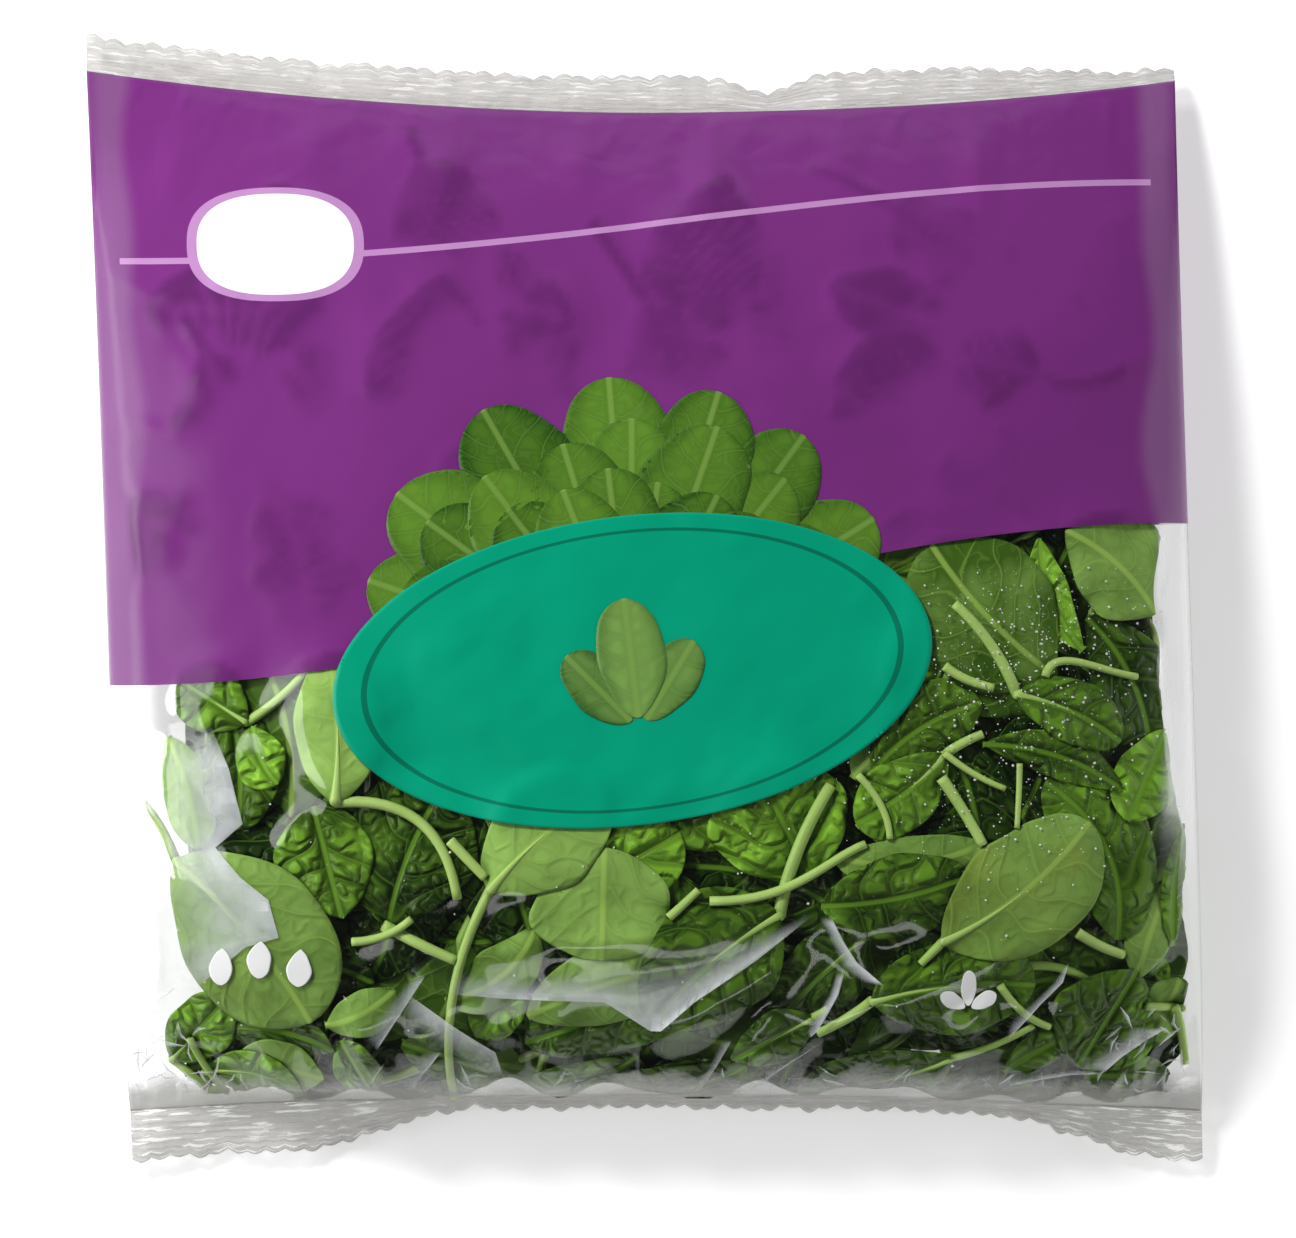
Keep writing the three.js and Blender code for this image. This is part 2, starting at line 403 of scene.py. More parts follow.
# Folds at each seal: end, count, pitch, length, half width, height, turn and fan in degrees.
SEAL_FOLDS = (
    (-1, 11, 23.0, 34.0, 8.0, 2.6, 9.0, 40.0),
    (1, 8, 33.0, 36.0, 10.0, 1.8, -4.0, 12.0),
)

# Pleats at the side folds: count, pitch, length, half width, height and slope.
SIDE_PLEATS = (6, 37.0, 24.0, 7.0, 1.5, 0.35)

# Creases of slack film that cross the window.
CREASES = (
    Fold((-34, -88), (46, -80), 11, 2.6),
    Fold((2, -112), (48, -80), 9, 2.2),
    Fold((46, -80), (64, -106), 7, 2.0),
    Fold((56, -104), (122, -74), 8, 1.8),
)

# Leaves that push the film out: middle, length and width, turn in degrees and height.
SWELLINGS = (
    Swelling((-78, -34), (46, 24), 100, 2.8),
    Swelling((-101, -84), (40, 30), 118, 3.0),
    Swelling((-44, -66), (38, 34), 60, 2.4),
    Swelling((-16, -66), (44, 32), 210, 2.8),
    Swelling((-2, -98), (66, 34), 20, 3.0),
    Swelling((34, -54), (38, 34), 130, 2.8),
    Swelling((60, -72), (42, 24), 4, 3.0),
    Swelling((97, -72), (42, 34), 38, 3.0),
    Swelling((84, -6), (34, 34), 70, 2.4),
    Swelling((104, -30), (44, 24), 150, 2.8),
    Swelling((78, -104), (56, 28), 8, 2.8),
    Swelling((-70, -110), (52, 24), 12, 2.4),
    Swelling((20, 36), (60, 44), 30, 2.2),
    Swelling((-60, 44), (60, 40), 120, 2.2),
    Swelling((92, 52), (56, 40), 70, 2.2),
)


# Meshes


@dataclass
class Pieces:
    """Points and faces that are gathered shape by shape and become one mesh."""

    name: str
    points: list[Array] = field(default_factory=list)
    faces: list[Array] = field(default_factory=list)
    uvs: list[Array] = field(default_factory=list)
    tones: list[Array] = field(default_factory=list)
    total: int = 0

    def add(self, points: Array, faces: list[Array], uv: Array, tone: Array) -> None:
        """Take in one shape.

        Args:
            points: n points in mm.
            faces: arrays of corner numbers, one array for each count of corners.
            uv: n places for the texture, in metres.
            tone: four numbers for the finish, for each point or for all of them.
        """
        self.points.append(points)
        self.faces.extend(f + self.total for f in faces)
        self.uvs.append(uv)
        self.tones.append(np.broadcast_to(tone, (len(points), 4)))
        self.total += len(points)

    def add_sheet(self, top: Array, thickness: float, uv: Array, tone: Array) -> None:
        """Take in a sheet of points as a thin solid.

        Args:
            top: its upper face, rows * columns * 3, mm.
            thickness: mm.
            uv: places for the texture, the same on both faces, in metres.
            tone: four numbers for the finish, for each point or for all of them.
        """
        points, faces = thin_solid(top, thickness)
        self.add(points, faces, np.tile(uv.reshape(-1, 2), (2, 1)), tone)

    def build(self, shift: Array, material: Material, slot: str) -> Object:
        """Make the mesh object, dress it and let it ride on the bag.

        Args:
            shift: what brings the points to the frame's origin, mm.
            material: the finish.
            slot: not used.
        Returns:
            The new object.
        """
        corners = np.concatenate([f.reshape(-1) for f in self.faces])
        uv = np.concatenate(self.uvs)[corners]
        sizes = np.concatenate([np.full(len(f), f.shape[1]) for f in self.faces])
        piece = mesh_object(self.name, (np.concatenate(self.points) + shift) * MM, corners, sizes)
        add_uv(piece, "surface", uv)
        tone = piece.data.attributes.new("tone", "FLOAT_COLOR", "POINT")
        tone.data.foreach_set("color", np.concatenate(self.tones).astype(np.float32).ravel())
        return dress(piece, material)


def mesh_object(name: str, points: Array, corners: Array, sizes: Array) -> Object:
    """Put points and faces into a new smooth mesh with foreach_set.

    Args:
        name: the piece's name.
        points: n places in metres.
        corners: the point numbers of all faces, one after the other.
        sizes: how many corners each face has.
    Returns:
        The linked object, at the origin.
    """
    mesh = bpy.data.meshes.new(name)
    mesh.vertices.add(len(points))
    mesh.vertices.foreach_set("co", points.astype(np.float32).ravel())
    mesh.loops.add(len(corners))
    mesh.loops.foreach_set("vertex_index", corners.astype(np.int32))
    mesh.polygons.add(len(sizes))
    starts = np.concatenate(([0], np.cumsum(sizes)[:-1]))
    mesh.polygons.foreach_set("loop_start", starts.astype(np.int32))
    mesh.update(calc_edges=True)
    mesh.polygons.foreach_set("use_smooth", np.ones(len(sizes), bool))
    piece = bpy.data.objects.new(name, mesh)
    bpy.context.scene.collection.objects.link(piece)
    return piece


def add_uv(piece: Object, name: str, uv: Array) -> None:
    """Store one place for each face corner in a UV map."""
    piece.data.uv_layers.new(name=name).data.foreach_set("uv", uv.astype(np.float32).ravel())


def add_numbers(piece: Object, name: str, values: Array) -> None:
    """Store one number for each point."""
    layer = piece.data.attributes.new(name, "FLOAT", "POINT")
    layer.data.foreach_set("value", values.astype(np.float32).ravel())


def dress(piece: Object, material: Material) -> Object:
    """Give a piece its finish, and let it ride on the bag's body."""
    piece.data.materials.append(material)
    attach(piece, "root")
    triangles = sum(len(p.vertices) - 2 for p in piece.data.polygons)
    log.info("piece %s: %d triangles", piece.name, triangles)
    return piece


def sheet_faces(rows: int, columns: int) -> Array:
    """Quads of a grid of points, facing up where rows run along X and columns along Y."""
    i, j = np.meshgrid(np.arange(rows - 1), np.arange(columns - 1), indexing="ij")
    a = (i * columns + j).ravel()
    return np.stack((a, a + columns, a + columns + 1, a + 1), axis=1)


def border(rows: int, columns: int) -> Array:
    """Point numbers round a grid's edge, anticlockwise seen from above."""
    number = np.arange(rows * columns).reshape(rows, columns)
    sides = (number[:-1, 0], number[-1, :-1], number[:0:-1, -1], number[0, :0:-1])
    return np.concatenate(sides)


def thin_solid(top: Array, thickness: float) -> tuple[Array, list[Array]]:
    """Close a grid of points into a thin solid.

    The underside lies below the top along its normals, and a wall joins their edges.

    Args:
        top: points of the upper sheet, rows * columns * 3.
        thickness: distance between the sheets.
    Returns:
        All points and the faces.
    """
    rows, columns, _ = top.shape
    along = np.gradient(top, axis=0)
    across = np.gradient(top, axis=1)
    under = top - unit(np.cross(along, across)) * thickness
    count = rows * columns
    faces = sheet_faces(rows, columns)
    rim = border(rows, columns)
    ahead = np.roll(rim, -1)
    wall = np.stack((rim + count, ahead + count, ahead, rim), axis=1)
    points = np.concatenate((top.reshape(-1, 3), under.reshape(-1, 3)))
    return points, [faces, faces[:, ::-1] + count, wall]


def ring_faces(rings: int, around: int) -> Array:
    """Quads between closed rings of points, with each ring's last point joined to its first."""
    i, k = np.meshgrid(np.arange(rings - 1), np.arange(around), indexing="ij")
    a, b = (i * around + k).ravel(), (i * around + (k + 1) % around).ravel()
    return np.stack((a, a + around, b + around, b), axis=1)


def tube(path: Array, radii: Array, sides: int) -> tuple[Array, list[Array]]:
    """Carry a circle along a path and close both ends.

    Args:
        path: n places.
        radii: n radii.
        sides: corners of the circle.
    Returns:
        Points and faces.
    """
    ahead = unit(np.gradient(path, axis=0))
    right = unit(np.cross(ahead, UP))
    over = np.cross(right, ahead)
    angle = np.linspace(0, math.tau, sides, endpoint=False)
    ring = right[:, None] * np.cos(angle)[None, :, None] + over[:, None] * np.sin(angle)[None, :, None]
    points = path[:, None] + ring * radii[:, None, None]
    start = np.arange(sides)[None]
    end = start[:, ::-1] + (len(path) - 1) * sides
    return points.reshape(-1, 3), [ring_faces(len(path), sides), start, end]


# Shader nodes


class Nodes:
    """Short calls that place nodes in one tree and link them."""

    def __init__(self, tree: Tree) -> None:
        """Keep the tree that nodes go into."""
        self.tree = tree

    def add(self, kind: str, **settings: object) -> Node:
        """Place a node and set its properties."""
        node = self.tree.nodes.new("ShaderNode" + kind)
        for name, value in settings.items():
            setattr(node, name, value)
        return node

    def feed(self, socket: Socket, value: object) -> None:
        """Link a socket to another, or set its value."""
        if isinstance(value, Socket):
            self.tree.links.new(value, socket)
        elif isinstance(value, tuple) and len(value) == 3 and socket.type == "RGBA":
            socket.default_value = (*value, 1.0)
        else:
            socket.default_value = value

    def fed(self, node: Node, values: dict, output: int | str = 0) -> Socket:
        """Feed a node's inputs, by number or name, and give one of its outputs."""
        for key, value in values.items():
            self.feed(node.inputs[key], value)
        return node.outputs[output]

    def put(self, name: str, value: object) -> None:
        """Feed an input of the material's own shader."""
        self.feed(self.tree.nodes["Principled BSDF"].inputs[name], value)

    def math(self, operation: str, *inputs: object) -> Socket:
        """One Math node's result."""
        return self.fed(self.add("Math", operation=operation), dict(enumerate(inputs)))

    def times(self, first: object, second: object) -> Socket:
        """The product of two numbers."""
        return self.math("MULTIPLY", first, second)

    def minus(self, first: object, second: object) -> Socket:
        """The first number less the second."""
        return self.math("SUBTRACT", first, second)

    def line(self, value: object, slope: object, start: object) -> Socket:
        """A straight line: value * slope + start."""
        return self.math("MULTIPLY_ADD", value, slope, start)

    def mix(self, share: object, first: object, second: object) -> Socket:
        """A colour between two others."""
        return self.fed(self.add("Mix", data_type="RGBA"), {0: share, 6: first, 7: second}, 2)

    def blend(self, share: object, first: object, second: object) -> Socket:
        """A number between two others."""
        return self.fed(self.add("Mix", data_type="FLOAT"), {0: share, 2: first, 3: second})

    def scaled(self, vector: object, share: object) -> Socket:
        """A colour or a place times a number."""
        return self.fed(self.add("VectorMath", operation="SCALE"), {0: vector, "Scale": share})

    def stretched(self, across: object, along: object, often: Pair) -> Socket:
        """A place from two distances, each times its own number."""
        parts = (self.times(value, times) for value, times in zip((across, along), often))
        return self.fed(self.add("CombineXYZ"), dict(enumerate(parts)))

    def noise(self, place: object, scale: float, detail: float = 2.0) -> Socket:
        """A cloudy field from 0 to 1."""
        return self.fed(self.add("TexNoise"), {"Vector": place, "Scale": scale, "Detail": detail}, "Fac")

    def step(self, value: object, low: float, high: float) -> Socket:
        """A smooth rise from 0 at low to 1 at high."""
        node = self.add("MapRange", interpolation_type="SMOOTHSTEP")
        return self.fed(node, {"Value": value, "From Min": low, "From Max": high}, "Result")

    def places(self) -> Socket:
        """Object coordinates in metres."""
        return self.add("TexCoord").outputs["Object"]

    def surface(self, name: str) -> tuple[Socket, Socket]:
        """The two numbers of a UV map."""
        split = self.add("SeparateXYZ")
        self.feed(split.inputs[0], self.add("UVMap", uv_map=name).outputs[0])
        return split.outputs[0], split.outputs[1]

    def attribute(self, name: str) -> Socket:
        """A number stored on the points."""
        return self.add("Attribute", attribute_name=name).outputs["Fac"]

    def tone(self) -> tuple[Socket, ...]:
        """The three numbers stored with each leaf: lightness, underside and yellowing."""
        split = self.add("SeparateColor")
        self.feed(split.inputs[0], self.add("Attribute", attribute_name="tone").outputs["Color"])
        return split.outputs[0], split.outputs[1], split.outputs[2]

    def group(self, tree: Tree, **inputs: object) -> Node:
        """Place a node group and feed its inputs; an underscore stands for a space."""
        node = self.tree.nodes.new("ShaderNodeGroup")
        node.node_tree = tree
        for name, value in inputs.items():
            self.feed(node.inputs[name.replace("_", " ")], value)
        return node

    def bump(self, height: object, depth: float, strength: float = 1.0) -> Socket:
        """A normal from a height field whose 1 stands for depth metres."""
        return self.fed(self.add("Bump"), {"Strength": strength, "Distance": depth, "Height": height})


def new_group(name: str, inputs: dict[str, str], outputs: dict[str, str]) -> tuple[Nodes, dict, dict]:
    """Make a shader node group with named sockets.

    Args:
        name: the group's name.
        inputs, outputs: socket name to socket type.
    Returns:
        The node placer, the input sockets and the output sockets, by name.
    """
    tree = bpy.data.node_groups.new(name, "ShaderNodeTree")
    for socket, kind in inputs.items():
        tree.interface.new_socket(socket, in_out="INPUT", socket_type=kind)
    for socket, kind in outputs.items():
        tree.interface.new_socket(socket, in_out="OUTPUT", socket_type=kind)
    start, end = tree.nodes.new("NodeGroupInput"), tree.nodes.new("NodeGroupOutput")
    taken = {name: start.outputs[name] for name in inputs}
    given = {name: end.inputs[name] for name in outputs}
    return Nodes(tree), taken, given


NUMBER, PLACE = "NodeSocketFloat", "NodeSocketVector"


def film_crinkle() -> Tree:
    """Fine slack of thin film: a stretched cloud folded at its middle, and a finer one.

    Returns:
        A group from Place and Fineness to Height.
    """
    n, given, out = new_group("film_crinkle", {"Place": PLACE, "Fineness": NUMBER}, {"Height": NUMBER})
    place = n.scaled(given["Place"], given["Fineness"])
    broad = n.noise(place, 60.0, 1.0)
    ridge = n.math("ABSOLUTE", n.minus(broad, 0.5))
    fine = n.noise(place, 210.0, 0.0)
    n.feed(out["Height"], n.line(fine, 0.22, ridge))
    return n.tree


def leaf_veins() -> Tree:
    """A midrib, side veins that leave it forwards, and uneven puffs between them.

    A side vein is where (along - slope * |across| - arch * across^2) / spacing is a whole
    number and a half, and the veins on one side stand between those on the other. The net
    and the seams between puffs are where a cloud crosses its middle value.

    Returns:
        A group from Along, Across, Place and Spacing to Veins and Puff.
    """
    n, given, out = new_group(
        "leaf_veins",
        {"Along": NUMBER, "Across": NUMBER, "Place": PLACE, "Spacing": NUMBER},
        {"Veins": NUMBER, "Puff": NUMBER},
    )
    away = n.math("ABSOLUTE", given["Across"])
    midrib = n.minus(1.0, n.step(away, 0.0003, 0.0011))
    forward = n.line(away, -0.42, given["Along"])
    forward = n.line(n.times(away, away), -28.0, forward)
    turns = n.math("DIVIDE", forward, given["Spacing"])
    turns = n.line(n.math("GREATER_THAN", given["Across"], 0.0), 0.5, turns)
    to_vein = n.math("ABSOLUTE", n.minus(n.math("FRACT", turns), 0.5))
    side = n.minus(1.0, n.step(to_vein, 0.0, 0.06))
    cloud = n.noise(given["Place"], 170.0, 1.0)
    off = n.math("ABSOLUTE", n.minus(cloud, 0.5))
    net = n.minus(1.0, n.step(off, 0.0, 0.035))
    strong = n.math("MAXIMUM", midrib, n.times(side, 0.5))
    n.feed(out["Veins"], n.math("MAXIMUM", strong, n.times(net, 0.22)))
    hill = n.times(n.step(to_vein, 0.0, 0.22), n.step(away, 0.0002, 0.0026))
    domes = n.line(n.step(off, 0.0, 0.15), 0.75, 0.25)
    n.feed(out["Puff"], n.times(hill, domes))
    return n.tree


def ink_grain() -> Tree:
    """The slight unevenness of printed ink.

    Returns:
        A group from Place to Grain, a number near 1.
    """
    n, given, out = new_group("ink_grain", {"Place": PLACE}, {"Grain": NUMBER})
    clouds = n.noise(given["Place"], 35.0, 2.0)
    n.feed(out["Grain"], n.line(clouds, 0.16, 0.92))
    return n.tree


@dataclass(frozen=True)
class Effects:
    """The node groups that several finishes share."""

    crinkle: Tree
    veins: Tree
    grain: Tree


# Finishes


def new_material(name: str) -> tuple[Material, Nodes]:
    """A new material with one Principled shader, and its node placer."""
    material = bpy.data.materials.new(name)
    material.use_nodes = True
    return material, Nodes(material.node_tree)


def print_ink(n: Nodes, effects: Effects, colour: Socket) -> None:
    """Give a material the look of glossy printed ink.

    Args:
        n: the material's node placer.
        effects: the shared node groups.
        colour: the ink's colour.
    """
    place = n.places()
    grain = n.group(effects.grain, Place=place).outputs["Grain"]
    n.put("Base Color", n.scaled(colour, grain))
    n.put("Roughness", 0.34)
    n.put("Specular IOR Level", 0.22)
    crinkle = n.group(effects.crinkle, Place=place, Fineness=1.0).outputs["Height"]
    n.put("Normal", n.bump(crinkle, 0.0009, 0.1))


@dataclass(frozen=True)
class PrintLayout:
    """Where the printed fields lie on the flat film, in metres."""

    edge_mid: float = -0.0015
    edge_rise: float = 0.0206
    edge_half: float = 0.138
    line_mid: float = 0.096
    line_rise: float = 0.0105
    line_shift: float = 0.014
    line_half: float = 0.128
    line_width: float = 0.0008
    line_end: float = 0.131
    plaque_at: Pair = (-0.091, 0.0896)
    plaque_half: Pair = (0.0225, 0.0148)
    plaque_power: float = 2.5
    plaque_rim: float = 0.74


@dataclass(frozen=True)
class FilmFinish:
    """Glossy film: clear below, and above it purple ink with a line and a blank plaque."""

    purple: Colour = (0.148, 0.0235, 0.162)
    lilac: Colour = (0.43, 0.215, 0.45)
    white: Colour = (0.86, 0.86, 0.87)
    clear: Colour = (0.97, 0.97, 0.98)
    head_on: float = 0.06
    slanted: float = 0.9
    most: float = 0.55
    # Cover added along the sides: partly the milkiness of folded film, partly a painted sheen of reflected
    # light.
    milky: float = 0.5
    # Painted shade on top of the doubled film, where both walls meet above the bottom seal.
    grey: Colour = (0.50, 0.49, 0.455)
    doubled_and_shade: float = 0.46
    doubled_and_shade_at: Pair = (-0.122, -0.114)
    # Paler ink along the sides: a painted sheen of reflected light.
    painted_sheen_fade: float = 0.06
    layout: PrintLayout = PrintLayout()

    def masks(self, n: Nodes) -> tuple[Socket, ...]:
        """Where the ink, the line, the plaque's rim and its white lie.

        Args:
            n: the material's node placer.
        Returns:
            Four masks.
        """
        p = self.layout
        across, along = n.surface("film")
        quarter = math.pi / 2 / p.edge_half
        edge = n.math("SINE", n.times(across, quarter))
        edge = n.line(edge, p.edge_rise, p.edge_mid)
        field_ = n.math("GREATER_THAN", along, edge)
        swing = n.times(n.minus(across, p.line_shift), math.pi / 2 / p.line_half)
        line = n.line(n.math("SINE", swing), p.line_rise, p.line_mid)
        off = n.math("ABSOLUTE", n.minus(along, line))
        near = n.math("LESS_THAN", off, p.line_width)
        ends = n.math("LESS_THAN", n.math("ABSOLUTE", across), p.line_end)
        parts = []
        for value, middle, half in zip((across, along), p.plaque_at, p.plaque_half):
            share = n.math("ABSOLUTE", n.math("DIVIDE", n.minus(value, middle), half))
            parts.append(n.math("POWER", share, p.plaque_power))
        ring = n.math("ADD", *parts)
        plaque = n.math("LESS_THAN", ring, 1.0)
        blank = n.math("LESS_THAN", ring, p.plaque_rim)
        return n.math("MAXIMUM", field_, plaque), n.times(near, ends), plaque, blank

    def make(self, effects: Effects) -> Material:
        """Build the material.

        Clear film is a weak mirror, head_on + slanted * (1 - cosine)^5, and the rest goes
        through. Along the sides, where it is folded and stretched, it is milky and carries a
        painted sheen of reflected light, and the ink is painted paler there as a sheen. Where both
        walls meet above the bottom seal it lies double and is painted grey as shade. The ink is
        painted darker where leaves lie close behind it, as their shade.

        Args:
            effects: the shared node groups.
        Returns:
            The material.
        """
        material, n = new_material("film")
        ink, line, plaque, blank = self.masks(n)
        place = n.places()
        grain = n.group(effects.grain, Place=place).outputs["Grain"]
        # Painted shade: the ink is darker where leaves lie close behind the film.
        shade_where_touching = n.line(n.attribute("painted_contact_shade"), -0.34, 1.10)
        purple = n.scaled(n.scaled(self.purple, grain), shade_where_touching)
        colour = n.mix(line, purple, self.lilac)
        colour = n.mix(plaque, colour, self.lilac)
        colour = n.mix(blank, colour, self.white)
        # Along the sides the film is milky and carries a painted sheen of reflected light, and the ink
        # there is painted paler.
        milk_and_sheen = n.attribute("milk_and_sheen")
        colour = n.mix(n.times(milk_and_sheen, self.painted_sheen_fade), colour, self.white)
        # Painted shade over doubled film: grey cover where both walls meet above the bottom seal.
        _, along = n.surface("film")
        wander = n.line(n.noise(place, 70.0, 1.0), 0.012, along)
        low = n.minus(1.0, n.step(wander, *self.doubled_and_shade_at))
        n.put("Base Color", n.mix(ink, n.mix(low, self.clear, self.grey), colour))
        plain = n.math("MAXIMUM", n.math("MAXIMUM", ink, milk_and_sheen), low)
        n.put("Metallic", n.minus(1.0, plain))
        n.put("Roughness", n.blend(plain, 0.08, 0.26))
        n.put("Specular IOR Level", n.blend(ink, 0.5, 0.18))
        slant = n.add("LayerWeight")
        slant.inputs["Blend"].default_value = 0.5
        both = n.math("POWER", slant.outputs["Facing"], 5.0)
        both = n.line(both, self.slanted, self.head_on)
        both = n.line(milk_and_sheen, self.milky, both)
        both = n.line(low, self.doubled_and_shade, both)
        n.put("Alpha", n.blend(ink, n.math("MINIMUM", both, self.most), 1.0))
        crinkle = n.group(effects.crinkle, Place=place, Fineness=1.0).outputs["Height"]
        loose = n.line(n.attribute("slack"), 1.3, 0.2)
        n.put("Normal", n.bump(n.times(crinkle, loose), 0.0009, 0.5))
        return material


@dataclass(frozen=True)
class SealFinish:
    """Two films welded and crimped: milky, with clearer streaks that let the pale floor through as painted
    glints, and denser where they are seen slanting.
    """

    colour: Colour = (0.52, 0.505, 0.465)
    cover: float = 0.42
    steep: float = 0.5
    clear: float = 0.38
    crimp_pitch: float = 0.0016
    streaks: Pair = (110.0, 1300.0)

    def make(self, effects: Effects, name: str) -> Material:
        """Build the material.

        Args:
            effects: the shared node groups.
            name: the material's name.
        Returns:
            The material.
        """
        material, n = new_material(name)
        across, along = n.surface("surface")
        place = n.places()
        crimp = n.math("SINE", n.times(along, math.tau / self.crimp_pitch))
        lines = n.noise(n.stretched(across, along, self.streaks), 1.0, 2.0)
        height = n.line(crimp, 0.16, n.times(lines, 0.9))
        crumple = n.group(effects.crinkle, Place=place, Fineness=1.6).outputs["Height"]
        # Painted highlights: clearer streaks let the pale floor show through, so that they read as glints
        # on the seal.
        clear = n.step(lines, 0.56, 0.62)
        n.put("Base Color", self.colour)
        n.put("Roughness", n.blend(lines, 0.1, 0.26))
        cover = n.line(clear, -self.clear, self.cover)
        slant = n.add("LayerWeight").outputs["Facing"]
        cover = n.line(n.times(slant, slant), self.steep, cover)
        n.put("Alpha", n.math("MAXIMUM", n.math("MINIMUM", cover, 0.9), 0.03))
        both = n.math("ADD", height, n.times(crumple, 2.2))
        n.put("Normal", n.bump(both, 0.0008, 1.0))
        return material


@dataclass(frozen=True)
class LeafFinish:
    """Spinach: waxy dark upper side, dull pale underside, paler veins."""

    upper: tuple[Colour, Colour] = ((0.004, 0.019, 0.001), (0.250, 0.530, 0.040))
    under: tuple[Colour, Colour] = ((0.044, 0.110, 0.008), (0.360, 0.600, 0.135))
    vein: tuple[Colour, Colour] = ((0.180, 0.390, 0.030), (0.410, 0.620, 0.120))
    yellow: Colour = (0.260, 0.290, 0.040)
    gloss: Colour = (0.80, 1.00, 0.50)
    vein_spacing: float = 0.0095
    painted_puff_light: Pair = (0.30, 0.12)
    contrast: float = 1.9
    veined: float = 0.5
    bumped: Pair = (0.90, -0.16)

    def make(self, effects: Effects) -> Material:
        """Build the material.

        A share from the leaf's own tone, clouds and puffs picks between the dark and the light
        green; the puffs lighten it as a painted highlight and the furrows between them stay
        darker as painted shade. On the upper side it is first raised to the contrast. Pairs are
        upper, under.

        Args:
            effects: the shared node groups.
        Returns:
            The material.
        """
        material, n = new_material("leaf")
        across, along = n.surface("surface")
        light, under, aged = n.tone()
        place = n.places()
        group = n.group(effects.veins, Along=along, Across=across, Place=place, Spacing=self.vein_spacing)
        clouds = n.noise(place, 70.0, 1.0)
        share = n.math("ADD", light, n.line(clouds, 0.8, -0.5))
        # Painted light: puffs lighten the colour as highlights, and the furrows between them stay darker as
        # shade.
        share = n.line(group.outputs["Puff"], n.blend(under, *self.painted_puff_light), share)
        over = n.mix(n.math("POWER", n.math("MAXIMUM", share, 0.0), self.contrast), *self.upper)
        below = n.mix(share, *self.under)
        colour = n.mix(under, over, below)
        stain = n.times(aged, n.step(n.noise(place, 45.0, 2.0), 0.45, 0.75))
        colour = n.mix(stain, colour, self.yellow)
        vein = n.mix(under, *self.vein)
        seen = n.times(group.outputs["Veins"], self.veined)
        n.put("Base Color", n.mix(seen, colour, vein))
        n.put("Roughness", n.line(clouds, 0.16, n.blend(under, 0.22, 0.46)))
        n.put("Specular IOR Level", 0.38)
        n.put("Specular Tint", self.gloss)
        furrows = n.line(group.outputs["Veins"], -0.3, group.outputs["Puff"])
        outwards = n.times(furrows, n.blend(under, *self.bumped))
        n.put("Normal", n.bump(outwards, 0.0013, 1.0))
        return material


@dataclass(frozen=True)
class StemFinish:
    """Moist stems: pale green, with fine lines along them."""

    dark: Colour = (0.200, 0.380, 0.050)
    light: Colour = (0.480, 0.660, 0.200)
    lines: Pair = (2600.0, 90.0)

    def make(self) -> Material:
        """Build the material."""
        material, n = new_material("stem")
        around, along = n.surface("surface")
        light, _, _ = n.tone()
        place = n.places()
        grooves = n.noise(n.stretched(around, along, self.lines), 1.0, 1.0)
        share = n.line(n.noise(place, 90.0), 0.5, n.minus(light, 0.25))
        share = n.line(grooves, 0.3, n.minus(share, 0.15))
        n.put("Base Color", n.mix(share, self.dark, self.light))
        n.put("Roughness", n.blend(grooves, 0.28, 0.48))
        n.put("Normal", n.bump(grooves, 0.0002, 0.7))
        return material


@dataclass(frozen=True)
class PrintedLeafFinish:
    """Printed leaves: flat greens with a pale midrib and side veins, under glossy film."""

    dark: Colour = (0.016, 0.062, 0.006)
    light: Colour = (0.115, 0.250, 0.025)
    rib: Colour = (0.200, 0.340, 0.070)
    vein_spacing: float = 0.0062
    cover: float = 0.985

    def make(self, effects: Effects) -> Material:
        """Build the material.

        Args:
            effects: the shared node groups.
        Returns:
            The material.
        """
        material, n = new_material("printed_leaf")
        across, along = n.surface("surface")
        light, edge, _ = n.tone()
        fed = {"Along": along, "Across": across, "Place": n.places(), "Spacing": self.vein_spacing}
        group = n.group(effects.veins, **fed)
        shade = n.minus(light, n.times(n.step(edge, 0.4, 1.0), 0.35))
        shade = n.line(group.outputs["Puff"], 0.22, shade)
        colour = n.mix(shade, self.dark, self.light)
        colour = n.mix(n.times(group.outputs["Veins"], 0.55), colour, self.rib)
        print_ink(n, effects, colour)
        n.put("Alpha", self.cover)
        return material


@dataclass(frozen=True)
class BadgeFinish:
    """The printed badge: jade ink with a thin darker ring, or plain white ink."""

    jade: Colour = (0.001, 0.300, 0.170)
    ring: Colour = (0.002, 0.150, 0.085)
    ring_at: Pair = (0.885, 0.905)

    def make(self, effects: Effects, name: str) -> Material:
        """Build the material.

        Args:
            effects: the shared node groups.
            name: the material's name.
        Returns:
            The material.
        """
        material, n = new_material(name)
        outwards, _ = n.surface("surface")
        inside = n.math("GREATER_THAN", outwards, self.ring_at[0])
        ring = n.times(inside, n.math("LESS_THAN", outwards, self.ring_at[1]))
        print_ink(n, effects, n.mix(ring, self.jade, self.ring))
        return material


WHITE_INK = (0.84, 0.85, 0.84)


@dataclass(frozen=True)
class WaterGlintFinish:
    """Clear water, painted partly white so that each drop shows as a glint."""

    def make(self) -> Material:
        """Build the material, with a little unevenness on the drops."""
        material, n = new_material("water")
        # Painted highlight: a white diffuse share makes each drop read as a glint.
        n.put("Base Color", (1.0, 1.0, 1.0, 1.0))
        n.put("Transmission Weight", 0.45)
        n.put("Roughness", 0.02)
        n.put("IOR", 1.333)
        n.put("Normal", n.bump(n.noise(n.places(), 700.0, 1.0), 0.0001, 0.3))
        return material


# What is inside


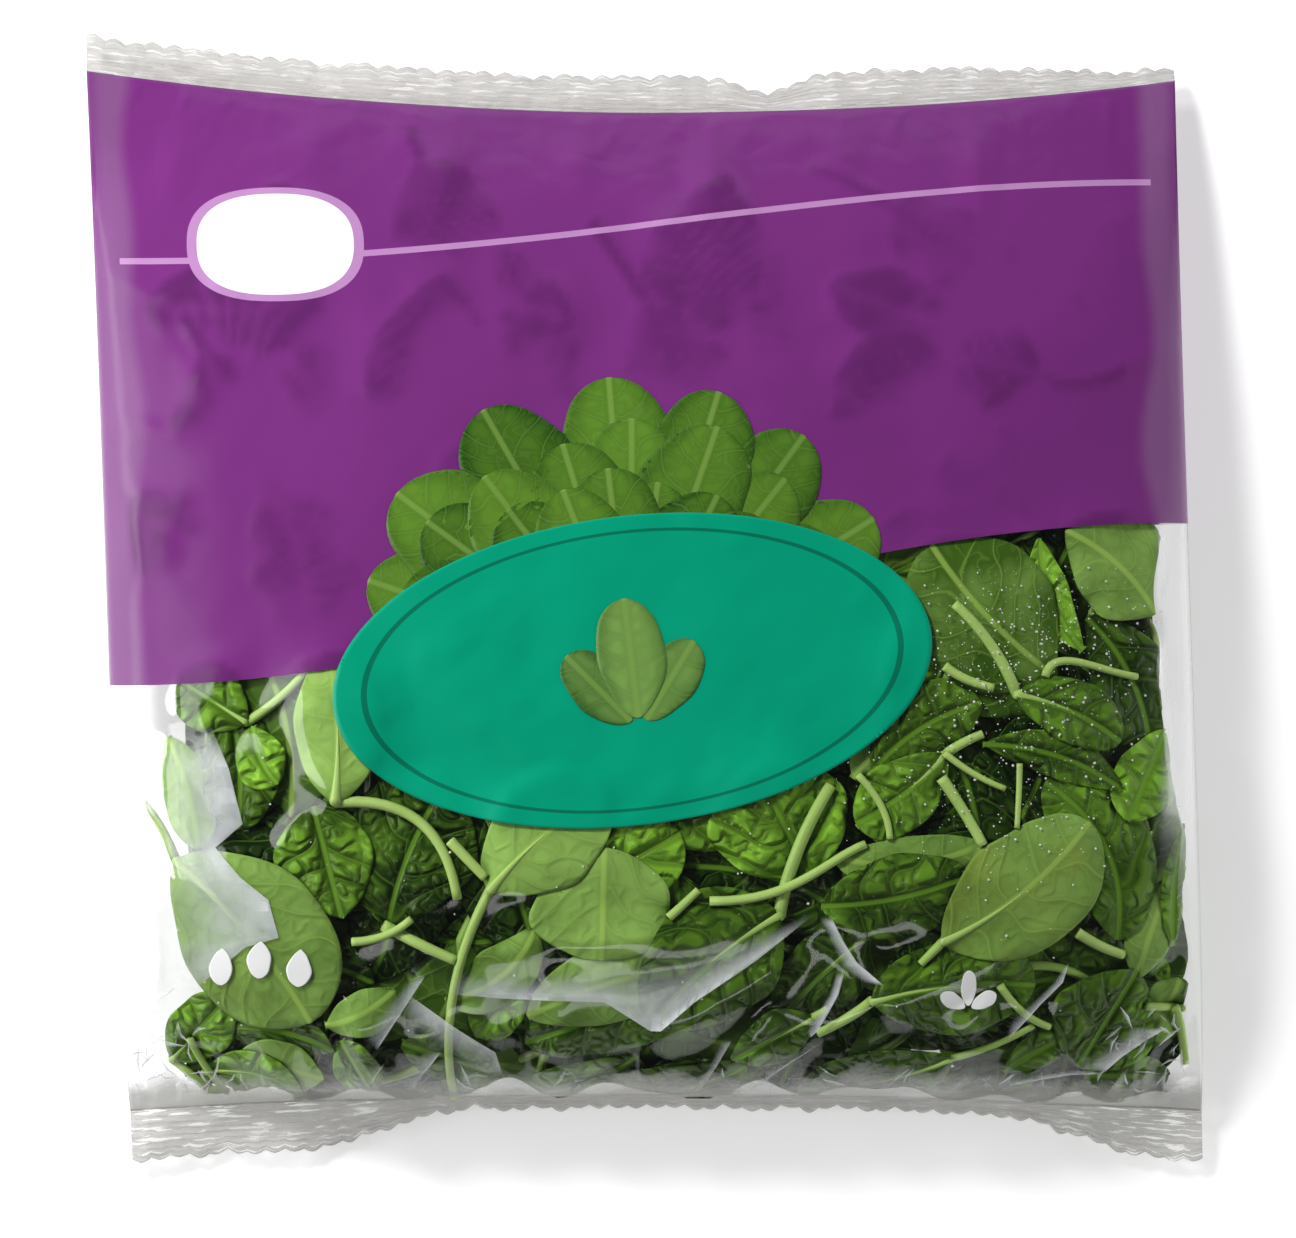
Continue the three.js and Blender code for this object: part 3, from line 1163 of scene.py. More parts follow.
class Heap:
    """The room between the films, as a height map that each leaf is laid against in turn.

    Leaves on the front are laid from the outside in, each under those before it, and leaves
    on the back the same way upside down.
    """

    reach = 150.0
    gap = 0.22

    def __init__(self, shape: BagShape, side: Side) -> None:
        """Start with the film's own height on a grid of 1 mm.

        Args:
            shape: the bag.
            side: the film that the leaves lie against.
        """
        self.shape, self.side = shape, side
        axis = np.arange(-self.reach, self.reach + 1)
        self.x, self.y = np.meshgrid(axis, axis, indexing="ij")
        s, v = shape.place(self.x, self.y)
        front = shape.film(s, v, Side.FRONT, shape.relief(self.x, self.y))
        back = shape.film(s, v, Side.BACK)
        self.film = front if side is Side.FRONT else -back
        middle = (front + back) / 2
        self.floor = (middle if side is Side.FRONT else -middle) + 0.4
        self.limit = self.film - self.gap
        self.tops = np.full(self.film.shape, -1000.0)

    def sample(self, grid: Array, x: Array, y: Array) -> Array:
        """Read a height map between its cells, along straight lines.

        Args:
            grid: the map.
            x, y: places across and along, mm.
        Returns:
            The heights there.
        """
        i, j = (np.clip(c + self.reach, 0, len(grid) - 1.001) for c in (x, y))
        a, b = i.astype(int), j.astype(int)
        p, q = i - a, j - b
        low = grid[a, b] * (1 - q) + grid[a, b + 1] * q
        high = grid[a + 1, b] * (1 - q) + grid[a + 1, b + 1] * q
        return low * (1 - p) + high * p

    def take(self, x: Array, y: Array, z: Array, thick: Array | float) -> None:
        """Note a shape in the cells under its points.

        Args:
            x, y: places across and along, mm.
            z: heights of its outer face, mm.
            thick: its thickness, mm.
        """
        spots = (np.rint(c + self.reach) for c in (x, y))
        cells = tuple(np.clip(c, 0, len(self.limit) - 1).astype(int) for c in spots)
        np.minimum.at(self.limit, cells, z - thick - self.gap)
        np.maximum.at(self.tops, cells, z)

    def lay(self, x: Array, y: Array, depth: float, rise: Array, thick: float) -> Array:
        """Lay a thin shape under what is there.

        It follows the film at its depth, with its own form, and gives way smoothly.

        Args:
            x, y: places across and along, mm.
            depth: distance under the film, mm.
            rise: the shape's own form, mm.
            thick: its thickness, mm.
        Returns:
            Heights of its outer face.
        """
        own = self.sample(self.film, x, y) - depth + rise
        short = np.minimum(0.0, self.sample(self.limit, x, y) - own)
        given = short
        for _ in range(2 * x.shape[1]):
            given = np.minimum(softened(given, 1), short)
        z = np.maximum(own + given, self.sample(self.floor, x, y))
        self.take(*(refined(grid, 3).ravel() for grid in (x, y, z)), thick)
        return z


class Face(Enum):
    """Which side of a leaf shows."""

    UPPER = 0.0
    UNDER = 1.0


class Outline(Enum):
    """Blade outlines: how the half width grows from the base, and how it shrinks to the tip."""

    OVAL = (0.64, 0.52)
    SPADE = (0.62, 0.78)
    LONG = (0.85, 0.80)


@dataclass(frozen=True)
class Leaf:
    """One leaf, in mm: where its blade starts and ends, and how it lies."""

    base: Pair
    tip: Pair
    wide: float
    depth: float = 0.5
    tone: float = 0.5
    outline: Outline = Outline.OVAL
    blister: float = 0.5
    curl: float = 0.6
    bow: float = 0.0
    sink: float = 0.0
    yellow: float = 0.0
    notch: tuple[float, float, float] | None = None
    face: Face = Face.UPPER
    stem: Pair | None = None
    bend: float = 0.0
    thick: float = 1.5


UNDER = Face.UNDER
OVAL, SPADE, LONG = Outline.OVAL, Outline.SPADE, Outline.LONG

# The leaves in the window, from the film inwards, where they show.
WINDOW_LEAVES = (
    Leaf((-78.1, -51), (-79.4, -14), 22, 0.4, 0.7, OVAL, 0.5, 0.6, -0.04, face=UNDER, stem=(-47.6, -75),
         bend=0.24, thick=1.7),
    Leaf((-39.6, -73), (-10, -48), 27, 0.5, 0.6, OVAL, 0.4, 0.5, 0.05, face=UNDER, stem=(-49.6, -127),
         bend=-0.08, thick=1.5),
    Leaf((32.6, -79), (0, -108), 33, 0.5, 0.35, SPADE, 0.4, 0.7, -0.06, stem=(45.3, -46.6), bend=0.05,
         thick=2),
    Leaf((91.9, -24), (118.5, -36), 16, 0.4, 0.45, OVAL, 0.6, 0.9, 0.06, stem=(76.2, -1.4), bend=-0.06,
         thick=1.7),
    Leaf((73.4, -86), (110.5, -56), 30, 0.4, 0.42, OVAL, 0.7, 0.7, -0.06, face=UNDER, yellow=0.35,
         notch=(0.86, 0.35, 0.3), stem=(68, -91.5), thick=1.4),
    Leaf((73.7, -39.2), (51.5, -56), 18, 0.6, 0.62, OVAL, 0.7, 0.8, 0.05, stem=(83.4, -33.9), bend=0.04,
         thick=1.5),
    Leaf((56, -101), (97, -97), 25, 0.4, 0.42, OVAL, 0.4, 0.6, 0.05, stem=(42.6, -109.4), bend=0.03,
         thick=1.6),
    Leaf((-119, -66), (-85, -107), 37, 0.5, 0.5, OVAL, 0.5, 0.7, 0.05, face=UNDER, yellow=0.15,
         stem=(-128, -51), bend=-0.05, thick=1.5),
    Leaf((-83.8, -52), (-76.8, -80), 25, 1, 0.55, SPADE, 1.4, 0.9),
    Leaf((-10.9, -62), (-11.6, -90.5), 36, 1.2, 0.62, OVAL, 0.6, 1.2, face=UNDER,
         notch=(0.92, -0.3, 0.45)),
    Leaf((-12.4, -70), (8, -58.5), 21, 1.8, 0.7),
    Leaf((40, -69.4), (26.5, -42), 35, 0.8, 0.62, OVAL, 1.7, 1),
    Leaf((43, -76.5), (80.2, -69), 21, 0.6, 0.38, OVAL, 1.6, 0.8, -0.05),
    Leaf((45, -64), (84, -61), 14, 1.6, 0.45, LONG, 0.5, 0.8, -0.1, face=UNDER),
    Leaf((-65.3, -82), (-50.5, -46), 32, 1.8, 0.25, OVAL, 0.5, 0.5, 0.05),
    Leaf((-30.3, -105.1), (11, -92), 20, 1.2, 0.45, OVAL, 0.4, 0.5, 0.05, face=UNDER),
    Leaf((14, -101.6), (-31, -112), 18, 1.8, 0.3, OVAL, 0.5, 0.6, -0.04),
    Leaf((-27.7, -81.5), (-51, -101), 15, 0.9, 0.35, LONG, 1.1, 2.2, 0.14, face=UNDER),
    Leaf((-31.6, -94), (-42.6, -110.6), 14, 1.1, 0.5, OVAL, 1.2, 1.2),
    Leaf((101, -19), (70.5, 13.5), 36, 1.6, 0.1, OVAL, 0.5, 0.5, 0.05, face=UNDER),
    Leaf((56, -42.5), (83, -26), 19, 0.9, 0.42, OVAL, 1, 0.9, 0.08, notch=(0.95, -0.6, 0.3)),
    Leaf((62, -30), (72.5, -4), 15, 1, 0.6, OVAL, 1.6, 0.9, 0.05),
    Leaf((128, -4), (104.5, 17), 26, 0.7, 0.45, SPADE, 1.2, 2, -0.08, face=UNDER),
    Leaf((109, -13), (98, 15), 10, 0.5, 0.85, LONG, 0.3, 0.8, 0.1),
    Leaf((83.4, -36.4), (119, -48), 11, 1.2, 0.4, LONG, 0.5, 1.4, 0.08),
    Leaf((120.3, -56), (130.5, -33), 17, 1, 0.85, SPADE, 0.4, 0.8),
    Leaf((118, -86), (99, -46), 24, 1.1, 0.45, OVAL, 0.9, 1, -0.16),
    Leaf((109, -119), (123.5, -94), 28, 0.9, 0.4, SPADE),
    Leaf((76.5, -116), (38, -125), 17, 1, 0.28, OVAL, 0.4, 0.7, 0.06, stem=(97, -107.6), bend=-0.04,
         thick=1.1),
    Leaf((90, -120), (113.5, -110), 10, 0.7, 0.35, LONG, 1.6, 2.4, 0.08),
    Leaf((111, -121.5), (133.5, -122.5), 11, 0.8, 0.45, OVAL, 0.6, 0.9),
    Leaf((133, -88), (136.5, -57), 7, 0.4, 0.65, LONG, 0.4, 1.4, 0.06),
    Leaf((123.5, -97), (133.5, -70), 13, 0.8, 0.5, LONG, 1.2, 2.2, 0.05, face=UNDER),
    Leaf((129, -113), (135, -96.5), 13, 1, 0.55, OVAL, 1.4, 2, face=UNDER),
    Leaf((41, -105.5), (21, -116.5), 13, 0.9, 0.35, SPADE, 0.5, 0.8, stem=(45, -103), thick=1.3),
    Leaf((24.7, -117.5), (-20, -126.5), 16, 1.2, 0.3, OVAL, 0.4, 0.6, 0.1),
    Leaf((-3, -115.5), (-42, -125.5), 14, 1.4, 0.38, LONG, 0.5, 1, 0.12),
    Leaf((-100.6, -31), (-118, -20.5), 17, 0.8, 0.48, OVAL, 0.9, 1.2, stem=(-84, -16.5), bend=-0.05,
         thick=1.5),
    Leaf((-99, -32), (-92.5, -46.5), 13, 0.9, 0.85, OVAL, 0.5, 1.6, -0.1),
    Leaf((-105, -27), (-103, -58), 20, 1.4, 0.42, OVAL, 0.5, 0.6, 0.05),
    Leaf((-121, -35), (-113, -63), 13, 1.2, 0.6, OVAL, 0.5, 0.8, 0.05, face=UNDER),
    Leaf((-122, -118), (-106.5, -101), 16, 0.6, 0.62, OVAL, 0.6, 0.9, stem=(-109.8, -131), bend=0.05,
         thick=1.3),
    Leaf((-114, -121.5), (-88.5, -127), 12, 0.6, 0.66, LONG, 0.4, 0.8, 0.12, stem=(-111, -132),
         thick=1.2),
    Leaf((-105, -117), (-82.5, -122), 15, 0.9, 0.5, SPADE, 0.6, 1, face=UNDER),
    Leaf((-109, -109), (-79.5, -114.5), 13, 1.1, 0.32, LONG, 0.6, 1.2, 0.08),
    Leaf((-81.4, -107.7), (-63.5, -98), 12, 1.3, 0.42, LONG, 0.5, 0.9, -0.08, face=UNDER),
    Leaf((-77.5, -111.5), (-70.2, -126), 12, 0.8, 0.55, OVAL, 1.2, 1.4),
    Leaf((-62, -112), (-40, -120), 13, 1.6, 0.45, OVAL, 0.8, 1.2),
    Leaf((110, -5), (126.5, -40), 21, 2.6, 0.22, OVAL, 0.5, 0.8, 0.1),
    Leaf((60, 6), (88, -4), 22, 3.4, 0.35, OVAL, 0.8, 0.8),
)

# Stems with no blade in sight: the points that each passes, and its radius.
LOOSE_STEMS = (
    (((-74.2, -86), (-66, -84.4), (-59.2, -80.1)), 1.3),
    (((-66.3, -81.9), (-57, -86.6), (-48.2, -90.6)), 1.7),
    (((-49.4, -60.4), (-45, -65), (-40.6, -69.6)), 1.6),
    (((5, -79.6), (8.6, -76.4), (12.4, -72.7)), 1.3),
    (((15.2, -75.5), (32.3, -72.9), (44, -66.8), (54, -61.2)), 1.4),
    (((99, -19.6), (104, -15.7), (113, -17.4), (122.8, -19.7)), 1.2),
    (((107.4, -83.8), (113.5, -87.4), (119.6, -89.8)), 1.6),
    (((73.7, -38.6), (81, -43.8), (89, -47.6)), 1),
    (((73, -44.8), (78.4, -53), (83.5, -61.7)), 1.7),
    (((73.7, -16.9), (79, -20.2), (86, -22.4)), 1.4),
    (((92.6, -41.3), (92.4, -49), (91.9, -57.4)), 0.9),
    (((134, -104), (136, -110), (137.5, -119)), 1.4),
    (((126, -103.5), (132, -104), (137.5, -104.6)), 1.3),
    (((-117, -112), (-113, -120), (-108, -127)), 1.2),
    (((88, -97), (94, -104), (101, -108)), 1.2),
    (((52, -44), (58, -52), (60, -60)), 1.1),
)


@dataclass(frozen=True)
class Blade:
    """How a leaf's blade is formed, in mm."""

    thickness: float = 0.35
    least: float = 0.35
    neck: float = 1.3
    vein_pitch: float = 10.5
    vein_slope: float = 0.42
    vein_arch: float = 0.028
    vein_wander: float = 2.2
    furrow: float = 0.5
    arch: float = 1.1
    margin_pitch: float = 15.0

    def grid(self, leaf: Leaf, rows: int, columns: int, seed: int) -> tuple[Array, ...]:
        """Work out one blade seen from above, and its own form.

        Half width is wide / 2 * t^p * (1 - t)^q over the same at its widest, with an uneven
        margin, set off to both sides of a bowed midrib.

        Args:
            leaf: the leaf.
            rows, columns: points from base to tip, and across.
            seed: for the uneven margin.
        Returns:
            x, y, rise, distance along as the veins run, and distance across, each
            rows * columns, in mm.
        """
        draw = np.random.default_rng(seed)
        t = (clustered(rows - 1, 0.75) + 1) / 2
        w = clustered(columns - 1, 0.25)
        base, tip = np.array(leaf.base), np.array(leaf.tip)
        length = np.linalg.norm(tip - base)
        ahead = (tip - base) / length
        left = np.array((-ahead[1], ahead[0]))
        bow = leaf.bow * length * 4 * t * (1 - t)
        centre = base + ahead * (t * length)[:, None] + left * bow[:, None]
        way = unit(np.gradient(centre, t, axis=0))
        aside = np.stack((-way[:, 1], way[:, 0]), axis=1)
        p, q = leaf.outline.value
        widest = p / (p + q)
        most = widest**p * (1 - widest) ** q
        half = leaf.wide / 2 * t**p * (1 - t) ** q / most
        phases = draw.uniform(0, math.tau, 6)
        uneven = np.ones((rows, columns))
        for sign, shift in ((-1, 0), (1, 3)):
            margin = 0.055 * np.sin(5.2 * t + phases[shift]) + 0.028 * np.sin(13 * t + phases[shift + 1])
            uneven += np.where(np.sign(w)[None] == sign, margin[:, None], 0) * np.abs(w)[None]
        near_base = self.neck * np.exp(-t / 0.05)
        half = np.maximum(np.maximum(half, near_base), self.least)
        if leaf.notch is not None:
            uneven *= self.tear(t[:, None], w[None], leaf.notch)
        b = w[None] * half[:, None] * uneven
        a = np.broadcast_to((t * length)[:, None], b.shape)
        spot = centre[:, None] + aside[:, None] * b[..., None]
        wander = Ripples(19.0, self.vein_wander, seed, 5).at(a, b + 40 * np.sign(b))
        rise = self.rise(leaf, a, a + wander, b, w[None], t[:, None], phases)
        return spot[..., 0], spot[..., 1], rise, a + wander, b

    def tear(self, t: Array, w: Array, notch: tuple[float, float, float]) -> Array:
        """Draw the margin in where the leaf is torn: near t = notch[0], on w's side."""
        at, side, depth = notch
        near = np.exp(-(((t - at) / 0.06) ** 2)) * np.exp(-(((w - side) / 0.5) ** 2))
        return 1 - depth * near

    def rise(
        self, leaf: Leaf, a: Array, run: Array, b: Array, w: Array, t: Array, phases: Array
    ) -> Array:
        """The blade's own form above its plane.

        A furrow along the midrib and the side veins, blisters between the veins with seams
        where ripples cross zero, a wavy margin, an arch from base to tip and a fall
        towards the tip.

        Args:
            leaf: the leaf.
            a, run, b: distances along, along as the veins run, and across, mm.
            w, t: shares across and along.
            phases: seeded phases.
        Returns:
            Heights in mm.
        """
        forward = run - np.abs(b) * self.vein_slope - b * b * self.vein_arch
        side = forward / self.vein_pitch + 0.5 * (b > 0) + 0.5
        to_vein = np.abs(side - np.rint(side)) * 2
        puffs = smoothstep(to_vein, 0.0, 0.6) * smoothstep(np.abs(b), 0.6, 3.0)
        puffs = puffs * (1 - np.abs(w) ** 5)
        cells = np.abs(Ripples(13.0, 1.0, int(phases[0] * 1000), 6).at(a, b))
        puffs = puffs * (0.15 + 0.85 * smoothstep(cells, 0.0, 0.8))
        fold = -self.furrow * np.exp(-((b / 1.3) ** 2)) * (1 - t**3)
        wave = np.sin(math.tau * a / self.margin_pitch + np.where(b > 0, phases[4], phases[5]))
        margin = leaf.curl * np.abs(w) ** 2.5 * wave
        form = fold + leaf.blister * puffs
        if leaf.face is Face.UNDER:
            form = form * -0.13
        arch = self.arch * (1 - (2 * t - 1) ** 2) - leaf.sink * t
        cup = -0.6 * w * w * (leaf.wide / 24)
        return form + margin + arch + cup


@dataclass
class LeafMaker:
    """Lays leaves and stems in the heap and gathers their meshes."""

    heap: Heap
    blades: Pieces
    stems: Pieces
    rows: int
    columns: int
    sides: int
    blade: Blade = Blade()
    across: Pair = (-0.955, 0.968)
    along: Pair = (0.015, 0.97)
    margin: float = 0.04

    def squeezed(self, x: Array, y: Array) -> tuple[Array, Array]:
        """Keep points inside uneven bounds, and off the right margin above its lower part."""
        s, v = self.heap.shape.place(x, y)
        uneven = Ripples(24, 0.011, 71, 5)
        right = self.across[1] - self.margin * smoothstep(v, 0.24, 0.42) + uneven.at(0 * x, y)
        low = self.along[0] + uneven.at(x, 0 * y)
        return self.heap.shape.plan(np.clip(s, self.across[0], right), np.clip(v, low, self.along[1]))

    def lay_leaf(self, leaf: Leaf, seed: int) -> None:
        """Lay one leaf with its stem.

        Args:
            leaf: the leaf.
            seed: for its unevenness.
        """
        flip = self.heap.side.value
        x, y, rise, a, b = self.blade.grid(leaf, self.rows, self.columns, seed)
        x, y = self.squeezed(x, y)
        z = self.heap.lay(x, y, leaf.depth, rise, self.blade.thickness)
        spots = np.stack((x, y, z * flip), axis=2)
        shown = leaf.face.value
        if flip < 0:
            spots[..., 2] += self.blade.thickness
            shown = 1 - shown
        tone = np.ones((2 * x.size, 4))
        tone[:, 0], tone[:, 2] = leaf.tone, leaf.yellow
        tone[: x.size, 1], tone[x.size :, 1] = shown, 1 - shown
        self.blades.add_sheet(spots, self.blade.thickness, np.stack((b, a), axis=2) * MM, tone)
        if leaf.stem is not None:
            self.lay_stem(leaf, spots)

    def lay_stem(self, leaf: Leaf, spots: Array) -> None:
        """Carry the stem from its cut end to the blade and on along the midrib.

        Args:
            leaf: the leaf.
            spots: the blade's outer face.
        """
        middle = spots[:, self.columns // 2]
        base, end = middle[0], np.array(leaf.stem)
        t = np.linspace(0, 1, 20)
        run = end - base[:2]
        length = np.linalg.norm(run)
        left = np.array((-run[1], run[0])) / length
        flat = base[:2] + run * t[:, None] + left * (leaf.bend * length * 4 * t * (1 - t))[:, None]
        x, y = self.squeezed(flat[:, 0], flat[:, 1])
        radius = 0.85 * leaf.thick * (1 - 0.16 * t)
        z = self.bedded(x, y, radius, leaf.depth, base[2] * self.heap.side.value)
        path = np.stack((x, y, z * self.heap.side.value), axis=1)[::-1]
        inner = middle[1 : max(3, int(len(middle) * 0.55))].copy()
        fade = np.linspace(1, 0.16, len(inner))
        sunk = 0.55 if leaf.face is Face.UPPER else 0.15
        inner[:, 2] -= leaf.thick * fade * sunk + 0.1
        joined = np.concatenate((path, inner))
        radii = np.concatenate((radius[::-1], leaf.thick * 0.85 * fade))
        outer = inner[:, 2] * self.heap.side.value + radii[len(path) :]
        self.heap.take(inner[:, 0], inner[:, 1], outer, 2 * radii[len(path) :])
        self.add_tube(joined, radii, leaf.tone)

    def bedded(self, x: Array, y: Array, radius: Array, depth: float, start: float | None) -> Array:
        """Heights of a stem's middle line, under the film and under what is laid already.

        Args:
            x, y: places across and along, mm.
            radius: radii, mm.
            depth: distance under the film, mm.
            start: height of the first point, or None.
        Returns:
            The heights.
        """
        own = self.heap.sample(self.heap.film, x, y) - depth - radius
        if start is not None:
            near = np.exp(-np.linspace(0, 1, len(x)) / 0.14)
            own = own * (1 - near) + start * near
        short = np.minimum(0.0, self.heap.sample(self.heap.limit, x, y) - radius - own)
        given = short[:, None]
        for _ in range(10):
            given = np.minimum(softened(given, 1), short[:, None])
        z = np.maximum(own + given[:, 0], self.heap.sample(self.heap.floor, x, y) + radius)
        for _ in range(3):
            z[1:-1] = z[1:-1] / 2 + (z[:-2] + z[2:]) / 4
        fine = np.linspace(0, 1, len(x) * 6)
        coarse = np.linspace(0, 1, len(x))
        px, py, pz, pr = (np.interp(fine, coarse, values) for values in (x, y, z, radius))
        way = unit(np.gradient(np.stack((px, py), axis=1), axis=0))
        for aside in (-0.8, 0.0, 0.8):
            off = way * (aside * pr)[:, None]
            self.heap.take(px - off[:, 1], py + off[:, 0], pz + pr, 2 * pr)
        return z

    def add_tube(self, path: Array, radii: Array, tone: float) -> None:
        """Gather one stem's tube, with a slightly widened cut end."""
        points, faces = tube(path, radii, self.sides)
        along = np.concatenate(([0], np.cumsum(np.linalg.norm(np.diff(path, axis=0), axis=1))))
        around = np.linspace(0, math.tau, self.sides, endpoint=False)
        uv = np.stack(np.meshgrid(along, around, indexing="ij")[::-1], axis=2).reshape(-1, 2) * MM
        self.stems.add(points, faces, uv, np.array((0.35 + 0.5 * tone, 0.0, 0.0, 1.0)))

    def lay_loose_stem(self, through: tuple[Pair, ...], radius: float, tone: float) -> None:
        """Lay a stem that passes a few points on a smooth line.

        Args:
            through: the points, mm.
            radius: mm.
            tone: how light it is.
        """
        marks = np.array(through)
        knots = np.linspace(0, 1, len(marks))
        t = np.linspace(0, 1, 16)
        curve = [np.polyval(np.polyfit(knots, marks[:, k], len(marks) - 1), t) for k in (0, 1)]
        x, y = self.squeezed(*curve)
        radii = np.full(len(t), 0.88 * radius) * (1 - 0.15 * t)
        z = self.bedded(x, y, radii, 0.4, None)
        self.add_tube(np.stack((x, y, z * self.heap.side.value), axis=1), radii, tone)


@dataclass(frozen=True)
class Filling:
    """The leaves that no one has placed: seeded, spread evenly, laid deeper and deeper, and painted darker
    with depth as shade.
    """

    count: int
    seed: int
    low: Pair = (-0.95, 0.03)
    high: Pair = (0.95, 0.93)
    lengths: Pair = (30.0, 50.0)
    widths: Pair = (0.5, 0.72)
    depths: Pair = (0.5, 9.0)
    stems: float = 0.6
    turns: Pair = (0.0, 360.0)
    turned_over: float = 0.25
    painted_depth_shade: float = 0.065

    def leaves(self, shape: BagShape) -> list[Leaf]:
        """Draw the leaves.

        Args:
            shape: the bag.
        Returns:
            Leaves, from the outside in.
        """
        draw = np.random.default_rng(self.seed)
        made = []
        even = ((np.arange(self.count)[:, None] + 1) * np.array((0.7548777, 0.5698403))) % 1
        spread = np.array(self.high) - np.array(self.low)
        for i in range(self.count):
            across, along = np.array(self.low) + spread * even[i]
            x, y = (float(c) for c in shape.plan(np.array(across), np.array(along)))
            turn = math.radians(draw.uniform(*self.turns))
            length = draw.uniform(*self.lengths)
            ahead = heading(turn)
            base = np.array((x, y)) - ahead * length / 2
            tip = np.array((x, y)) + ahead * length / 2
            depth = self.depths[0] + (self.depths[1] - self.depths[0]) * (i / self.count)
            stalk = base - ahead * draw.uniform(12, 34) + draw.uniform(-6, 6, 2)
            end = float(shape.place(*stalk[:, None])[0][0])
            kept = draw.uniform() < self.stems and self.low[0] - 0.05 < end < self.high[0] + 0.05
            wide = length * draw.uniform(*self.widths)
            face = Face.UNDER if draw.uniform() < self.turned_over else Face.UPPER
            # Painted shade: deeper leaves get a darker tone.
            tone = draw.uniform(0.0, 0.8) - self.painted_depth_shade * depth
            outline = (OVAL, SPADE, LONG)[int(draw.integers(0, 3))]
            form = draw.uniform((0.4, 0.5, -0.12, -1.5), (1.4, 1.6, 0.12, 4.0))
            stem = tuple(stalk) if kept else None
            made.append(Leaf(tuple(base), tuple(tip), wide, depth, tone, outline, *form, face=face,
                             stem=stem, bend=draw.uniform(-0.15, 0.15)))
        return made


# The bag


